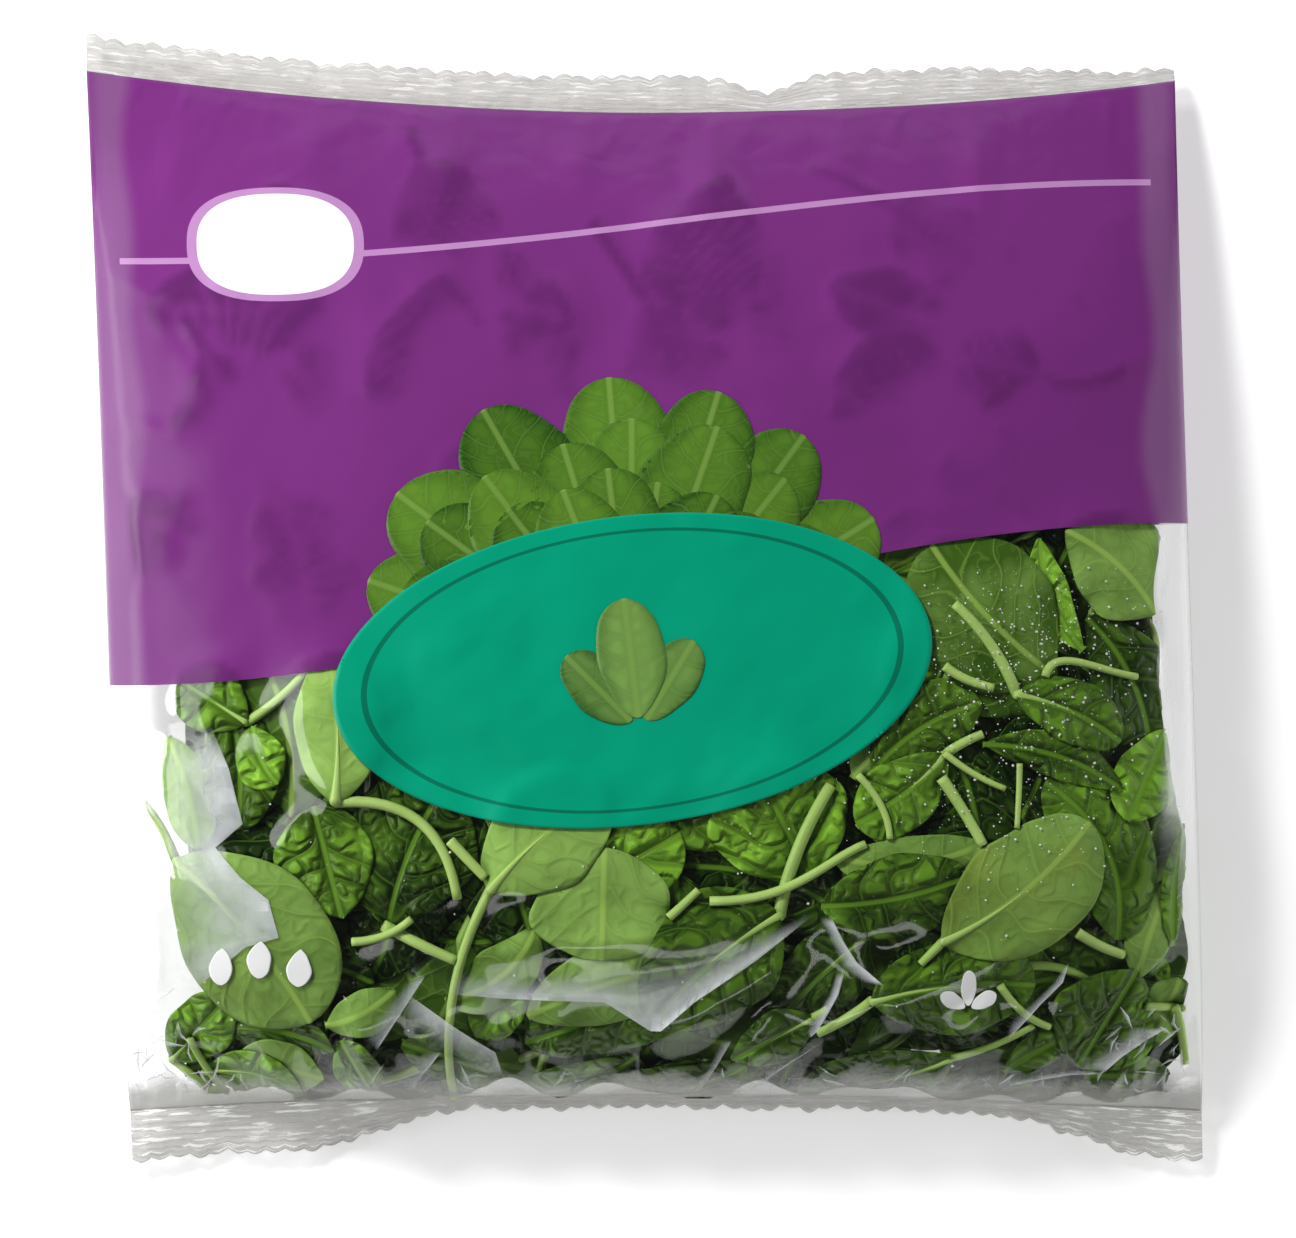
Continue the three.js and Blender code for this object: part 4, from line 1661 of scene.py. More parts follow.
@dataclass
class FilmBag:
    """The film itself: one closed tube from seal to seal, and a welded band at each end."""

    shape: BagShape
    shift: Array
    columns: int = 210
    rows: int = 190
    teeth: int = 56
    band_columns: int = 560
    band_rows: int = 16
    weld: float = 0.3
    clearance: float = 0.3
    sag: float = 0.33
    most_sag: float = 1.2
    painted_contact_shade: Array | None = None
    lift: Array | None = None
    heap: Heap | None = None

    def small_folds(self) -> list[Fold]:
        """Seeded small folds: puckers along both seals, lower at the tight printed top."""
        draw = np.random.default_rng(41)
        made = []
        for end, count, reach, most in ((-1, 46, 17.0, 1.4), (1, 24, 14.0, 0.6)):
            for x in np.linspace(-130, 130, count) + draw.uniform(-2, 2, count):
                long = reach * draw.uniform(0.4, 1.5)
                turn = draw.uniform(-28, 28) + 26 * x / self.shape.half_width
                wide, high = draw.uniform(1.5, 3.2), most * draw.uniform(0.3, 1)
                made.append(self.shape.seal_fold(end, x, turn, long, wide, high))
        return made

    def crumple(self, x: Array, y: Array) -> Array:
        """Sharp small folds in the empty lower corners, shared by front and back."""
        draw = np.random.default_rng(7)
        total = np.zeros(np.shape(x))
        for corner in ((-127, -124), (132, -124)):
            for _ in range(36):
                root = np.array(corner) + draw.normal(0, (10, 12))
                turn = draw.uniform(0, math.pi)
                tip = root + draw.uniform(7, 22) * heading(turn)
                high = draw.uniform(-1.3, 1.3)
                total = total + Fold(tuple(root), tuple(tip), draw.uniform(1.6, 3.4), high).at(x, y)
        return total

    def front(self, x: Array, y: Array) -> Array:
        """Height in mm of the finished front film at places seen from above, in mm."""
        s, v = self.shape.place(x, y)
        return self.finished(s, v, x, y, Side.FRONT)

    def finished(self, s: Array, v: Array, x: Array, y: Array, side: Side) -> Array:
        """Height of the finished film: the bag's form, small folds, slack and sag.

        Args:
            s, v: places across and along.
            x, y: the same places seen from above, mm.
            side: front or back.
        Returns:
            Heights in mm.
        """
        ends = smoothstep(v, 0, 0.02) * smoothstep(1 - v, 0, 0.02)
        loose = self.crumple(x, y) * ends * superellipse(s, (8, 2))
        if side is Side.BACK:
            return np.maximum(0.0, self.shape.film(s, v, side) + loose)
        slack = Ripples(38, 0.22, 3).at(x, y) + Ripples(14, 0.05, 5).at(x, y)
        small = sum(fold.at(x, y) for fold in self.small_folds())
        added = self.shape.relief(x, y) + slack
        near = small * ends * superellipse(s, (10, 2))
        film = self.shape.film(s, v, side, added) + near + loose
        return film if self.lift is None else film + self.heap.sample(self.lift, x, y)

    def settle(self, heap: Heap) -> None:
        """Let the front film lie on the leaves and sink a little between them.

        It sinks by a third of the room under it. Where that leaves less than the clearance
        it is raised, over a few millimetres round each such place.

        Args:
            heap: the finished heap under the front.
        """
        s, v = self.shape.place(heap.x, heap.y)
        film = self.finished(s, v, heap.x, heap.y, Side.FRONT)
        room = np.clip(film - heap.tops, 0, 12)
        sag = softened(np.minimum(room * self.sag, self.most_sag), 8)
        sag = sag * smoothstep(self.shape.filling(s, v), 0, 0.25)
        short = np.maximum(heap.tops + self.clearance - (film - sag), 0)
        for _ in range(4):
            short = np.maximum(short, shifted_maximum(short))
        self.heap = heap
        self.lift = softened(short, 14) - sag
        # Share where leaves lie close under the front: it carries the painted shade of the leaves behind
        # the ink.
        self.painted_contact_shade = softened(1 - smoothstep(film + self.lift - heap.tops, 0.7, 2.2), 1)

    def make_film(self, material: Material) -> Object:
        """Build the tube: rings over the front and back under the bag, from top to bottom.

        Args:
            material: the film's finish.
        Returns:
            The film.
        """
        s = clustered(self.columns, 0.45)[::-1]
        v = (clustered(self.rows, 0.5)[::-1] + 1) / 2
        grid_v, grid_s = np.meshgrid(v, s, indexing="ij")
        x, y = self.shape.plan(grid_s, grid_v)
        over = self.finished(grid_s, grid_v, x, y, Side.FRONT)
        below = self.finished(grid_s, grid_v, x, y, Side.BACK)
        over = np.maximum(over, below + 0.02)
        back = slice(-2, 0, -1)
        ring = [np.concatenate((a, b[:, back]), axis=1) for a, b in ((x, x), (y, y), (over, below))]
        points = np.stack(ring, axis=2)
        around = 2 * self.columns
        walls = np.roll(ring_faces(self.rows + 1, around)[:, ::-1], 1, axis=1)
        quads, corners_3 = self.cap()
        last = self.rows * around
        faces = [walls, quads[:, ::-1], quads + last, corners_3[:, ::-1], corners_3 + last]
        corners = np.concatenate([f.ravel() for f in faces])
        sizes = np.concatenate([np.full(len(f), f.shape[1]) for f in faces])
        points = points.reshape(-1, 3)
        piece = mesh_object("film", (points + self.shift) * MM, corners, sizes)
        along = points[corners, 1]
        across = self.flat_across(s, walls, corners)
        add_uv(piece, "film", np.stack((across, along), axis=1) * MM)
        contact_shade_share = self.heap.sample(self.painted_contact_shade, ring[0], ring[1])
        contact_shade_share[:, len(s) :] = 0.5
        add_numbers(piece, "painted_contact_shade", contact_shade_share)
        loose = 1 - smoothstep(self.shape.filling(grid_s, grid_v), 0.1, 0.75)
        add_numbers(piece, "slack", np.concatenate((loose, loose[:, back]), axis=1))
        add_numbers(piece, "milk_and_sheen", np.concatenate((self.milk_and_sheen(grid_s, grid_v), 0 * loose[:, back]), axis=1))
        return dress(piece, material)

    def milk_and_sheen(self, s: Array, v: Array) -> Array:
        """How milky the front is, with a painted sheen of reflected light: 1 along both sides, with an
        uneven inner edge.

        Args:
            s, v: places across and along.
        Returns:
            Shares from 0 to 1.
        """
        uneven = Ripples(0.16, 0.012, 61, 5).at(0 * s, v + 3 * np.sign(s))
        sides = smoothstep(np.abs(s) + uneven, 0.915, 0.95)
        upward = np.where(s > 0, smoothstep(v, 0.2, 0.36), smoothstep(v, 0.03, 0.16))
        return sides * upward * (1 - 0.6 * smoothstep(np.abs(s), 0.97, 1.0))

    def cap(self) -> tuple[Array, Array]:
        """Faces that close one end of the tube: front columns joined to those behind them.

        Returns:
            Quads, and the triangle at each side.
        """
        n = self.columns
        near = np.arange(1, n - 1)
        quads = np.stack((near, near + 1, 2 * n - near - 1, 2 * n - near), axis=1)
        return quads, np.array(((0, 1, 2 * n - 1), (n - 1, n, n + 1)))

    def flat_across(self, s: Array, walls: Array, corners: Array) -> Array:
        """Distance from the front's middle on the flat film, running on round both sides.

        Args:
            s: the columns' places across.
            walls: the corners of the faces between rings.
            corners: all faces' corners.
        Returns:
            One distance for each corner, mm.
        """
        n, half = self.columns, self.shape.half_width
        column = corners % (2 * n)
        own = s[np.minimum(column, n)] * half
        behind = s[np.clip(2 * n - column, 0, n)] * half
        left = np.repeat(walls[:, 0] % (2 * n) < n + n // 2, 4)
        left = np.concatenate((left, np.ones(len(corners) - len(left), bool)))
        return np.where(column <= n, own, np.where(left, -2, 2) * half - behind)

    def make_seal(self, end: int, material: Material) -> Object:
        """Build one welded band: crimped across, waved along, with a zigzag cut edge.

        Args:
            end: -1 for the bottom seal and 1 for the top one.
            material: the seal's finish.
        Returns:
            The band.
        """
        shape = self.shape
        s = np.linspace(-1, 1, self.band_columns + 1)
        out = np.linspace(0, 1, self.band_rows + 1)
        grid_s, grid_o = np.meshgrid(s, out, indexing="ij")
        line_y, line_z = shape.seal_line(end, grid_s)
        saw = np.abs((grid_s * self.teeth / 2) % 1 - 0.5) * 2
        ragged = Ripples(9, 0.45, 20 + end, 6).at(grid_s * shape.half_width, 0 * grid_s)
        tooth = (0.9 * saw**1.5 + ragged) * grid_o**2
        wide = shape.bottom_width(grid_s) if end < 0 else shape.top_width(grid_s)
        drop = shape.bottom_drop(grid_s) if end < 0 else shape.top_droop
        y = line_y + end * (-0.4 + (wide + 0.4 - tooth) * grid_o)
        half = shape.half_width + (0 if end < 0 else shape.top_flare)
        x = shape.lean * y + half * grid_s
        across = Ripples(26, 0.9, 30 + end, 5).at(x, y * 0.2) + Ripples(7, 0.28, 40 + end, 6).at(x, y * 0.4)
        crimps = 0.12 * np.sin(math.tau * grid_o * 6.5)
        z = line_z - drop * grid_o + across * smoothstep(grid_o, 0.1, 0.9) + crimps
        z = z + self.crumple(x, y) * grid_o * 0.8
        top = np.stack((x, y, np.maximum(z, 0.5)), axis=2)[::end]
        uv = np.stack((grid_s * half, grid_o * shape.bottom_band), axis=2)[::end] * MM
        pieces = Pieces("bottom_seal" if end < 0 else "top_seal")
        pieces.add_sheet(top, self.weld, uv, np.ones(4))
        return pieces.build(self.shift, material, "film")


@dataclass(frozen=True)
class PrintedLeaf:
    """One leaf of the printed fan, in mm."""

    base: Pair
    tip: Pair
    wide: float
    tone: float
    layer: float
    outline: Outline = Outline.OVAL


@dataclass
class BagPrint:
    """The printed motif: a fan of leaves behind an oval badge, and small white marks."""

    bag: FilmBag
    centre: Pair = (-4.0, -18.0)
    half: Pair = (75.0, 38.5)
    turn: float = 7.0
    lift: float = 0.16
    badge_lift: float = 0.44
    layer_step: float = 0.02
    skin: float = 0.01
    rows: int = 22
    columns: int = 13

    def turned(self, x: Array, y: Array) -> tuple[Array, Array]:
        """Turn places round the badge's middle by its tilt, and set them there."""
        c, s = math.cos(math.radians(self.turn)), math.sin(math.radians(self.turn))
        return self.centre[0] + x * c - y * s, self.centre[1] + x * s + y * c

    def fan(self) -> list[PrintedLeaf]:
        """Three rows of leaves that spread from behind the badge, seeded a little uneven.

        Returns:
            The leaves, from the back row forwards.
        """
        draw = np.random.default_rng(23)
        made = []
        for row, (count, reach, wide) in enumerate(((7, 1.0, 27.0), (8, 0.84, 26.0), (9, 0.66, 25.0))):
            angles = np.linspace(24, 156, count) + draw.uniform(-3, 3, count)
            for k, angle in enumerate(np.radians(angles)):
                tip = 74 * heading(angle) * reach
                tip = tip * draw.uniform(0.94, 1.04)
                base = tip * (1 - 38 / np.linalg.norm(tip))
                ends = [self.turned(*base), self.turned(*tip)]
                tone = draw.uniform(0.25, 0.75)
                layer = 1 + row * 3 + k % 3
                made.append(PrintedLeaf(*ends, wide * draw.uniform(0.9, 1.1), tone, layer))
        return made

    def make_leaves(self, name: str, leaves: list[PrintedLeaf], material: Material) -> Object:
        """Lay flat leaves on the film as one piece.

        Args:
            name: the piece's name.
            leaves: the leaves, from the back forwards.
            material: their ink.
        Returns:
            The piece.
        """
        pieces = Pieces(name)
        edge = np.abs(clustered(self.columns - 1, 0.25))[None] * np.ones((self.rows, 1))
        for leaf in leaves:
            plan = Leaf(leaf.base, leaf.tip, leaf.wide, outline=leaf.outline)
            x, y, _, a, b = Blade(neck=0.4).grid(plan, self.rows, self.columns, int(leaf.tone * 1e4))
            z = self.bag.front(x, y) + self.lift + self.layer_step * leaf.layer
            tone = np.zeros((2 * x.size, 4))
            tone[:, 0], tone[:, 1] = leaf.tone, np.tile(edge.ravel(), 2)
            uv = np.stack((b, a), axis=2) * MM
            pieces.add_sheet(np.stack((x, y, z), axis=2), self.skin, uv, tone)
        return pieces.build(self.bag.shift, material, "film")

    def sprig(self) -> list[PrintedLeaf]:
        """Three small leaves in the middle of the badge."""
        made = []
        for angle, reach, tone, layer in ((52, 26, 0.45, 22), (128, 26, 0.3, 23), (90, 33, 0.65, 24)):
            way = heading(math.radians(angle))
            base, tip = way * 3 + (0, -15), way * reach + (0, -15)
            made.append(PrintedLeaf(self.turned(*base), self.turned(*tip), reach * 0.52, tone, layer))
        return made

    def make_badge(self, material: Material) -> Object:
        """The oval: rings of points from the middle to the rim.

        Args:
            material: the badge's ink.
        Returns:
            The badge.
        """
        out = np.linspace(0.004, 1, 60)
        angle = np.linspace(0, math.tau, 241)[:-1]
        r, a = np.meshgrid(out, angle, indexing="ij")
        x, y = self.turned(self.half[0] * r * np.cos(a), self.half[1] * r * np.sin(a))
        z = self.bag.front(x, y) + self.badge_lift
        points = np.stack((x, y, z), axis=2).reshape(-1, 3)
        wide = len(angle)
        quads = ring_faces(len(out), wide)
        under = points - 2 * self.skin * UP
        count = len(points)
        rim = (len(out) - 1) * wide + np.arange(wide)
        walls = np.stack((rim + count, np.roll(rim, -1) + count, np.roll(rim, -1), rim), axis=1)
        pole = np.arange(wide)[None]
        faces = [quads, quads[:, ::-1] + count, walls, pole, pole[:, ::-1] + count]
        uv = np.stack((r, a), axis=2).reshape(-1, 2)
        pieces = Pieces("printed_badge")
        pieces.add(np.concatenate((points, under)), faces, np.concatenate((uv, uv)), np.ones(4))
        return pieces.build(self.bag.shift, material, "film")

    def marks(self) -> list[PrintedLeaf]:
        """Marks with no words: three drops on the left, and a sprig on the right."""
        made = []
        for i, x in enumerate((-108.0, -98.0, -88.0)):
            up = 2 * (i % 2)
            made.append(PrintedLeaf((x, -97.5 + up), (x + 1, -88 + up), 6.2, 0.3 + i / 10, 2, SPADE))
        start = np.array((80.0, -103.0))
        for i, angle in enumerate((30, 90, 150)):
            way = heading(math.radians(angle))
            tip = start + way * (8 + 2 * (i % 2))
            made.append(PrintedLeaf(tuple(start + way), tuple(tip), 4.0, 0.2 + i / 10, 2))
        return made


@dataclass(frozen=True)
class CreaseSheenFinish:
    """Slack film laid double, with a painted reflection of the lights: milky, bright along one edge and
    fading to the other.
    """

    colour: Colour = (0.88, 0.91, 0.94)

    def make(self, effects: Effects) -> Material:
        """Build the material.

        Its cover is tone * (1 - across)^1.4 * (0.6 + crinkle), and it dies away at both tips.

        Args:
            effects: the shared node groups.
        Returns:
            The material.
        """
        material, n = new_material("sheen_crease")
        across, along = n.surface("surface")
        strength, _, _ = n.tone()
        crinkle = n.group(effects.crinkle, Place=n.places(), Fineness=1.5).outputs["Height"]
        inner = n.math("POWER", n.math("MAXIMUM", n.minus(1.0, across), 0.0), 1.4)
        tips = n.times(n.step(along, 0.0, 0.12), n.minus(1.0, n.step(along, 0.88, 1.0)))
        cover = n.times(n.times(inner, tips), strength)
        cover = n.times(cover, n.math("ADD", crinkle, 0.6))
        # The colour and cover are a painted reflection of the lights on the doubled film.
        n.put("Base Color", self.colour)
        n.put("Roughness", 0.2)
        n.put("Alpha", n.math("MINIMUM", cover, 0.95))
        return material


@dataclass(frozen=True)
class SheenCrease:
    """Where slack film lies double with a painted reflection on it, in mm: its bright edge, its faint edge
    and its strength.
    """

    bright: tuple[Pair, ...]
    faint: tuple[Pair, ...]
    strength: float


# Painted reflections on slack film laid double over the window: the flat facet on the left, the long one in
# the middle, then the rest.
LAID_SHEEN_CREASES = (
    SheenCrease(((-110, -31), (-105, -42.5), (-101.5, -56.5), (-108.5, -62.5), (-102, -70),
            (-95, -75.5), (-92.5, -85), (-101, -87.5), (-107.5, -93), (-115, -99)),
           ((-124.5, -31), (-126, -42.5), (-126.5, -56.5), (-126.5, -62.5), (-126.5, -70),
            (-126.5, -75.5), (-126, -85), (-126, -87.5), (-125.5, -93), (-125, -99)), 0.5),
    SheenCrease(((-51.5, -99), (-31.5, -100.5), (-11, -101), (2, -109.5), (11.5, -101), (26, -91), (41, -79)),
           ((-51.5, -93), (-33, -94.5), (-15.5, -92.5), (3.5, -89), (16.5, -87), (29, -83),
            (40.5, -78.5)), 0.55),
    SheenCrease(((45.5, -79.5), (48.5, -85.5), (52, -91), (59, -97)),
           ((42, -79), (45.5, -86), (48.5, -92.5), (54, -96.5)), 0.8),
    SheenCrease(((49, -93.5), (47.5, -99.5), (42.5, -108.5), (40.5, -110.5)),
           ((47, -93), (45, -99.5), (41, -106), (39.5, -109.5)), 0.8),
    SheenCrease(((21, -111), (17, -118.5), (12.5, -125.5)),
           ((18.5, -110.5), (15, -118.5), (10, -125.5)), 0.5),
    SheenCrease(((46.5, -109.5), (35.5, -117.5), (25.5, -125.5)),
           ((44, -111.5), (32.5, -118.5), (22, -125.5)), 0.5),
    SheenCrease(((-60.5, -99), (-47.5, -108.5), (-38.5, -114.5), (-37, -120.5)),
           ((-63.5, -104.5), (-54, -113), (-46, -118.5), (-39.5, -121)), 0.45),
    SheenCrease(((132.5, -109), (126.5, -112.5), (120.5, -116.5), (115.5, -121)),
           ((123, -109), (119, -112), (114, -115.5), (110.5, -119)), 0.7),
    SheenCrease(((105.5, -91.5), (104, -96.5), (98.5, -102), (90, -111.5)),
           ((105, -91.5), (101, -97), (95.5, -102), (90, -107)), 0.5),
    SheenCrease(((90, -124), (99.5, -122), (108, -121), (115.5, -121)),
           ((90, -122.5), (99.5, -120.5), (108, -119.5), (115, -120.5)), 0.6),
    SheenCrease(((-55.5, -94), (-62, -104), (-68.5, -114)),
           ((-58.5, -94), (-65.5, -102), (-72, -110.5)), 0.4),
    SheenCrease(((-52, -114), (-57, -120.5), (-60, -125)),
           ((-57, -114), (-62, -120.5), (-62, -125)), 0.4),
)


@dataclass
class SheenCreasing:
    """Lays creases with painted reflections on the film: those in the window, and seeded small ones near
    the seal.
    """

    bag: FilmBag
    rows: int = 28
    columns: int = 6
    lift: float = 0.12
    skin: float = 0.01
    small: int = 90

    def seeded(self) -> list[SheenCrease]:
        """Small creases with painted glints: many in both lower corners, and the rest along the bottom
        seal.
        """
        draw = np.random.default_rng(57)
        made = []
        for i in range(self.small):
            corner = ((-126.0, -116.0), (127.0, -117.0))[i % 2]
            spot = np.array(corner) + draw.normal(0, (7.0, 8.0))
            if i % 3 == 0:
                spot = np.array((draw.uniform(-120, 125), draw.uniform(-124, -119)))
            turn = draw.uniform(0, math.pi)
            way = heading(turn)
            aside = np.array((-way[1], way[0]))
            long, wide = draw.uniform(3.0, 9.0), draw.uniform(0.4, 1.5)
            bowed = spot + aside * draw.uniform(-0.8, 0.8)
            bright = (spot - way * long / 2, bowed, spot + way * long / 2)
            faint = (bright[0], bowed + aside * wide, bright[2])
            ends = (tuple(map(tuple, bright)), tuple(map(tuple, faint)))
            made.append(SheenCrease(*ends, draw.uniform(0.4, 1.0)))
        return made

    def make(self, material: Material) -> Object:
        """Build every painted reflection as a thin skin between its two edges.

        Args:
            material: the creases' finish.
        Returns:
            The creases.
        """
        pieces = Pieces("film_crease_sheens")
        share = np.linspace(0, 1, self.columns)[None, :, None]
        t = np.linspace(0, 1, self.rows)
        for sheen_crease in (*LAID_SHEEN_CREASES, *self.seeded()):
            knots = np.linspace(0, 1, len(sheen_crease.bright))
            edges = []
            for edge in (np.array(sheen_crease.bright), np.array(sheen_crease.faint)):
                edges.append(np.stack([np.interp(t, knots, edge[:, k]) for k in (0, 1)], axis=1))
            flat = edges[0][:, None] * (1 - share) + edges[1][:, None] * share
            s, v = self.bag.shape.place(flat[..., 0], flat[..., 1])
            x, y = self.bag.shape.plan(np.clip(s, -0.985, 0.985), np.clip(v, 0.008, 1))
            top = np.stack((x, y, self.bag.front(x, y) + self.lift), axis=2)
            uv = np.stack(np.meshgrid(share.ravel(), t), axis=2)
            if np.cross(flat[1, 0] - flat[0, 0], flat[0, -1] - flat[0, 0]) < 0:
                top, uv = top[:, ::-1], uv[:, ::-1]
            tone = np.array((sheen_crease.strength, 0.0, 0.0, 1.0))
            pieces.add_sheet(top[::-1, ::-1], self.skin, uv[::-1, ::-1], tone)
        return pieces.build(self.bag.shift, material, "film")


@dataclass
class Drops:
    """Rinsing water on the inside of the film, seeded, densest on the right."""

    bag: FilmBag
    count: int = 1100
    middle: Pair = (92.0, -20.0)
    spread: Pair = (19.0, 24.0)
    radii: Pair = (0.09, 0.36)
    sides: int = 7
    heights: tuple[float, ...] = (0.32, 0.22, 0.0, -0.46, -0.66)
    out: tuple[float, ...] = (0.10, 0.62, 1.0, 0.74, 0.15)

    def make(self, material: Material) -> Object:
        """Build every drop as a bead that hangs from the film, one tube stood upright.

        Args:
            material: water.
        Returns:
            The drops.
        """
        draw = np.random.default_rng(99)
        near = draw.normal(self.middle, self.spread, (self.count, 2))
        far = draw.uniform((-118, -112), (128, 8), (self.count // 5, 2))
        spots = np.concatenate((near, far))
        spots = spots[(spots[:, 1] < 8) & (spots[:, 0] < 131)]
        low, high = self.radii
        radius = low + (high - low) * draw.uniform(0, 1, len(spots)) ** 3
        height = self.bag.front(spots[:, 0], spots[:, 1]) - 0.06 - 0.32 * radius
        points, faces = tube(np.outer(self.heights, (1, 0, 0)), np.array(self.out), self.sides)
        points = points[:, (1, 2, 0)]
        centres = np.column_stack((spots, height))
        many = (centres[:, None] + points[None] * radius[:, None, None]).reshape(-1, 3)
        steps = np.arange(len(spots))[:, None, None] * len(points)
        faces = [(f[None] + steps).reshape(-1, f.shape[1]) for f in faces]
        pieces = Pieces("water_drops")
        pieces.add(many, faces, np.zeros((len(many), 2)), np.ones(4))
        return pieces.build(self.bag.shift, material, "water")


# The studio


@dataclass(frozen=True)
class SoftBox:
    """A rectangular studio light that faces the bag."""

    name: str
    azimuth: float
    off_vertical: float
    distance: float
    size: Pair
    power: float
    mirrored: bool = True

    def make(self) -> None:
        """Hang the light; azimuth 0 is +X, and 90 is +Y. Gloss shows it where mirrored is set."""
        turn, tilt = math.radians(self.azimuth), math.radians(self.off_vertical)
        way = Vector((math.cos(turn) * math.sin(tilt), math.sin(turn) * math.sin(tilt), math.cos(tilt)))
        light = bpy.data.lights.new(self.name, "AREA")
        light.shape = "RECTANGLE"
        light.size, light.size_y = self.size
        light.energy = self.power
        lamp = bpy.data.objects.new(self.name, light)
        lamp.location = way * self.distance
        lamp.rotation_euler = way.to_track_quat("Z", "Y").to_euler()
        lamp.visible_glossy = self.mirrored
        bpy.context.scene.collection.objects.link(lamp)


@dataclass
class Studio:
    """Pale floor, soft lights and the camera that looks straight down."""

    shift: Array
    mm_per_pixel: float = 0.2555
    picture_width: float = 1296.0
    picture_centre: Pair = (-0.13, -5.24)
    height: float = 1.4
    focus_height: float = 0.018
    floor_colour: Colour = (0.80, 0.80, 0.80)
    floor_glow: float = 0.45
    ambient: float = 0.055

    def make_floor(self) -> None:
        """A wide pale floor just under the bag, lit a little from below as a light table is."""
        corners = np.array(((-2, -2), (2, -2), (2, 2), (-2, 2)), float)
        points = np.column_stack((corners, np.full(4, -0.0003)))
        floor = mesh_object("floor", points, np.arange(4), np.array([4]))
        material, n = new_material("floor")
        tint = n.noise(n.places(), 6.0)
        pale = tuple(0.985 * c for c in self.floor_colour)
        n.put("Base Color", n.mix(tint, self.floor_colour, pale))
        n.put("Roughness", 0.9)
        n.put("Specular IOR Level", 0.1)
        n.put("Emission Color", (1.0, 1.0, 1.0, 1.0))
        n.put("Emission Strength", self.floor_glow)
        floor.data.materials.append(material)

    def make_lights(self) -> None:
        """Soft lights on the left and right, a weak one behind and in front, and a key light."""
        for box in (
            SoftBox("left_box", 178, 56, 1.1, (0.8, 0.46), 4.1),
            SoftBox("left_strip", 178, 80, 1.1, (0.8, 0.16), 4.0),
            SoftBox("right_box", -2, 75, 1.1, (0.8, 0.44), 4.2, mirrored=False),
            SoftBox("right_sheen", -2, 75, 1.1, (0.8, 0.44), 1.5),
            SoftBox("back_box", 94, 76, 1.1, (0.9, 0.20), 0.8),
            SoftBox("front_box", -86, 54, 1.1, (0.8, 0.14), 0.8),
            SoftBox("key_box", 130, 46, 1.3, (0.26, 0.26), 15.0, mirrored=False),
        ):
            box.make()
        world = bpy.data.worlds.new("studio")
        world.use_nodes = True
        ground = world.node_tree.nodes["Background"]
        ground.inputs["Color"].default_value = (0.95, 0.97, 1.0, 1.0)
        ground.inputs["Strength"].default_value = self.ambient
        bpy.context.scene.world = world

    def make_camera(self) -> None:
        """Look straight down with a long lens that frames the bag as the picture does."""
        camera = bpy.data.cameras.new("camera")
        wide = self.mm_per_pixel * self.picture_width * MM
        camera.sensor_width = 36.0
        camera.lens = camera.sensor_width * (self.height - self.focus_height) / wide
        camera.clip_end = 50.0
        eye = bpy.data.objects.new("camera", camera)
        spot = (np.array((*self.picture_centre, 0.0)) + self.shift) * MM
        eye.location = (spot[0], spot[1], self.height)
        bpy.context.scene.collection.objects.link(eye)
        bpy.context.scene.camera = eye

    def make(self) -> None:
        """Set everything up."""
        self.make_floor()
        self.make_lights()
        self.make_camera()
        view = bpy.context.scene.view_settings
        view.view_transform = "Standard"
        view.look = "None"


def frame_shift(shape: BagShape) -> Array:
    """What brings the bag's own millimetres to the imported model's frame.

    Args:
        shape: the bag.
    Returns:
        A shift in mm.
    """
    low, high = (np.array(corner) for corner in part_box("bag"))
    top = shape.top_line(np.array(-1.0))[0] + shape.top_width(np.array(-1.0))
    bottom = shape.bottom_line(np.array(1.0))[0] - shape.bottom_width(np.array(1.0))
    left = shape.lean * top - shape.half_width - shape.top_flare
    right = shape.lean * bottom + shape.half_width
    own = np.array(((left + right) / 2, (top + bottom) / 2))
    middle = (low[:2] + high[:2]) / 2 / MM
    return np.array((*(middle - own), 0.0))


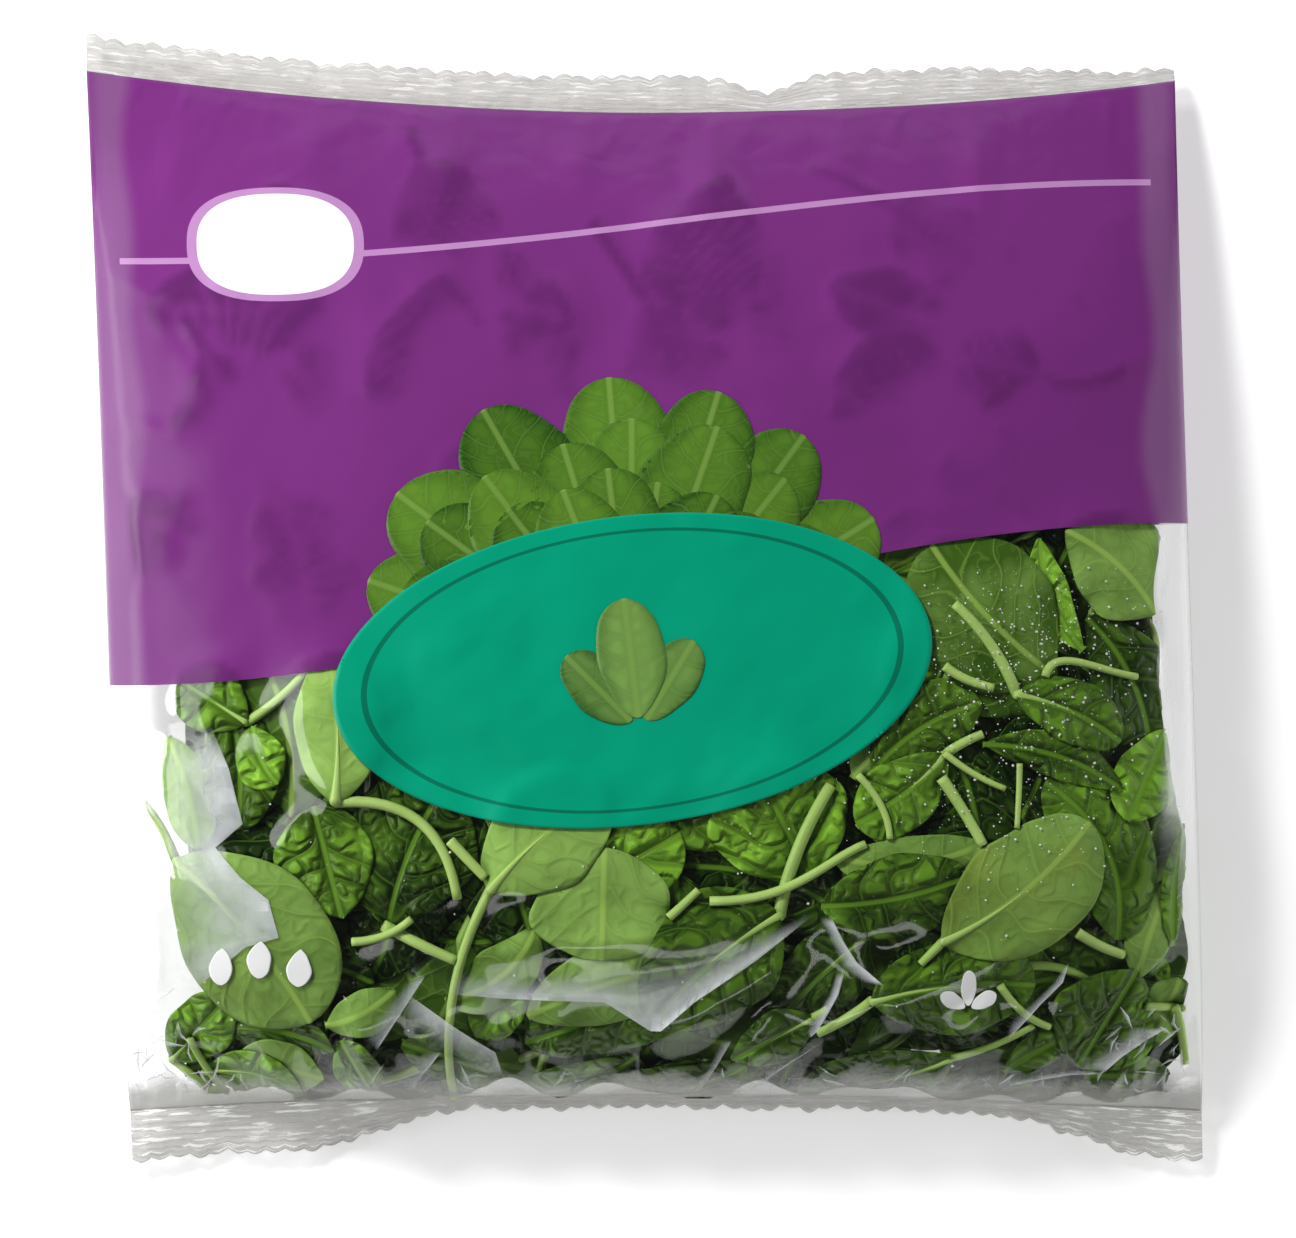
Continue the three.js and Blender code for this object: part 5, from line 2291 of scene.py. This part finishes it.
def lay_filling(bag: FilmBag, effects: Effects) -> Heap:
    """Lay all leaves and stems, and build their pieces.

    Args:
        bag: the film bag.
        effects: the shared node groups.
    Returns:
        The heap under the front film.
    """
    leaf_finish, stem_finish = LeafFinish().make(effects), StemFinish().make()
    front = Heap(bag.shape, Side.FRONT)
    window = LeafMaker(front, Pieces("window_leaves"), Pieces("window_stems"), 34, 23, 10)
    for through, radius in LOOSE_STEMS:
        window.lay_loose_stem(through, radius, 0.7)
    for i, leaf in enumerate(WINDOW_LEAVES):
        window.lay_leaf(leaf, 100 + i)
    deep = LeafMaker(front, Pieces("heap_leaves"), Pieces("heap_stems"), 17, 11, 7)
    fillings = (
        (deep, Filling(130, 11, low=(-0.76, 0.07), high=(0.86, 0.62), depths=(3.0, 12.0))),
        (deep, Filling(60, 12, low=(-0.84, 0.42), high=(0.84, 0.86), depths=(0.9, 6.0))),
        (deep, Filling(44, 14, low=(-0.80, 0.0), high=(0.93, 0.15), depths=(1.4, 6.0),
                       widths=(0.36, 0.5), stems=0.2, turns=(-24.0, 24.0), painted_depth_shade=0.04)),
        (deep, Filling(26, 15, low=(0.80, 0.06), high=(0.90, 0.56), depths=(1.6, 6.0),
                       lengths=(26.0, 40.0), stems=0.2, turns=(60.0, 120.0), painted_depth_shade=0.02)),
    )
    under = Heap(bag.shape, Side.BACK)
    low = LeafMaker(under, Pieces("back_leaves"), Pieces("back_stems"), 17, 11, 7)
    fillings += ((low, Filling(110, 13, low=(-0.78, 0.07), high=(0.86, 0.86), depths=(0.4, 5.0))),)
    for maker, filling in fillings:
        for i, leaf in enumerate(filling.leaves(bag.shape)):
            maker.lay_leaf(leaf, 1000 * filling.seed + i)
    for maker in (window, deep, low):
        maker.blades.build(bag.shift, leaf_finish, "leaf")
        maker.stems.build(bag.shift, stem_finish, "stem")
    return front


def main() -> None:
    """Build the bag, its filling and its print, and the studio round it."""
    logging.basicConfig(level=logging.INFO, format="%(name)s: %(message)s")
    shape = BagShape()
    shift = frame_shift(shape)
    Studio(shift).make()
    effects = Effects(film_crinkle(), leaf_veins(), ink_grain())
    bag = FilmBag(shape, shift)
    bag.settle(lay_filling(bag, effects))
    film = bag.make_film(FilmFinish().make(effects))
    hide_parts("bag")
    bag.make_seal(-1, SealFinish().make(effects, "seal"))
    bag.make_seal(1, replace(SealFinish(), cover=0.5, steep=0.2, clear=0.26).make(effects, "flat_seal"))
    SheenCreasing(bag).make(CreaseSheenFinish().make(effects))
    motif = BagPrint(bag)
    printed = PrintedLeafFinish().make(effects)
    motif.make_leaves("printed_leaves", motif.fan(), printed)
    motif.make_badge(BadgeFinish().make(effects, "badge"))
    sprig = replace(PrintedLeafFinish(), dark=(0.03, 0.10, 0.02), light=(0.20, 0.36, 0.08))
    motif.make_leaves("printed_sprig", motif.sprig(), sprig.make(effects))
    white = replace(BadgeFinish(), jade=WHITE_INK, ring=WHITE_INK).make(effects, "white_ink")
    motif.make_leaves("printed_marks", motif.marks(), white)
    Drops(bag).make(WaterGlintFinish().make())


if __name__ == "__main__":
    main()
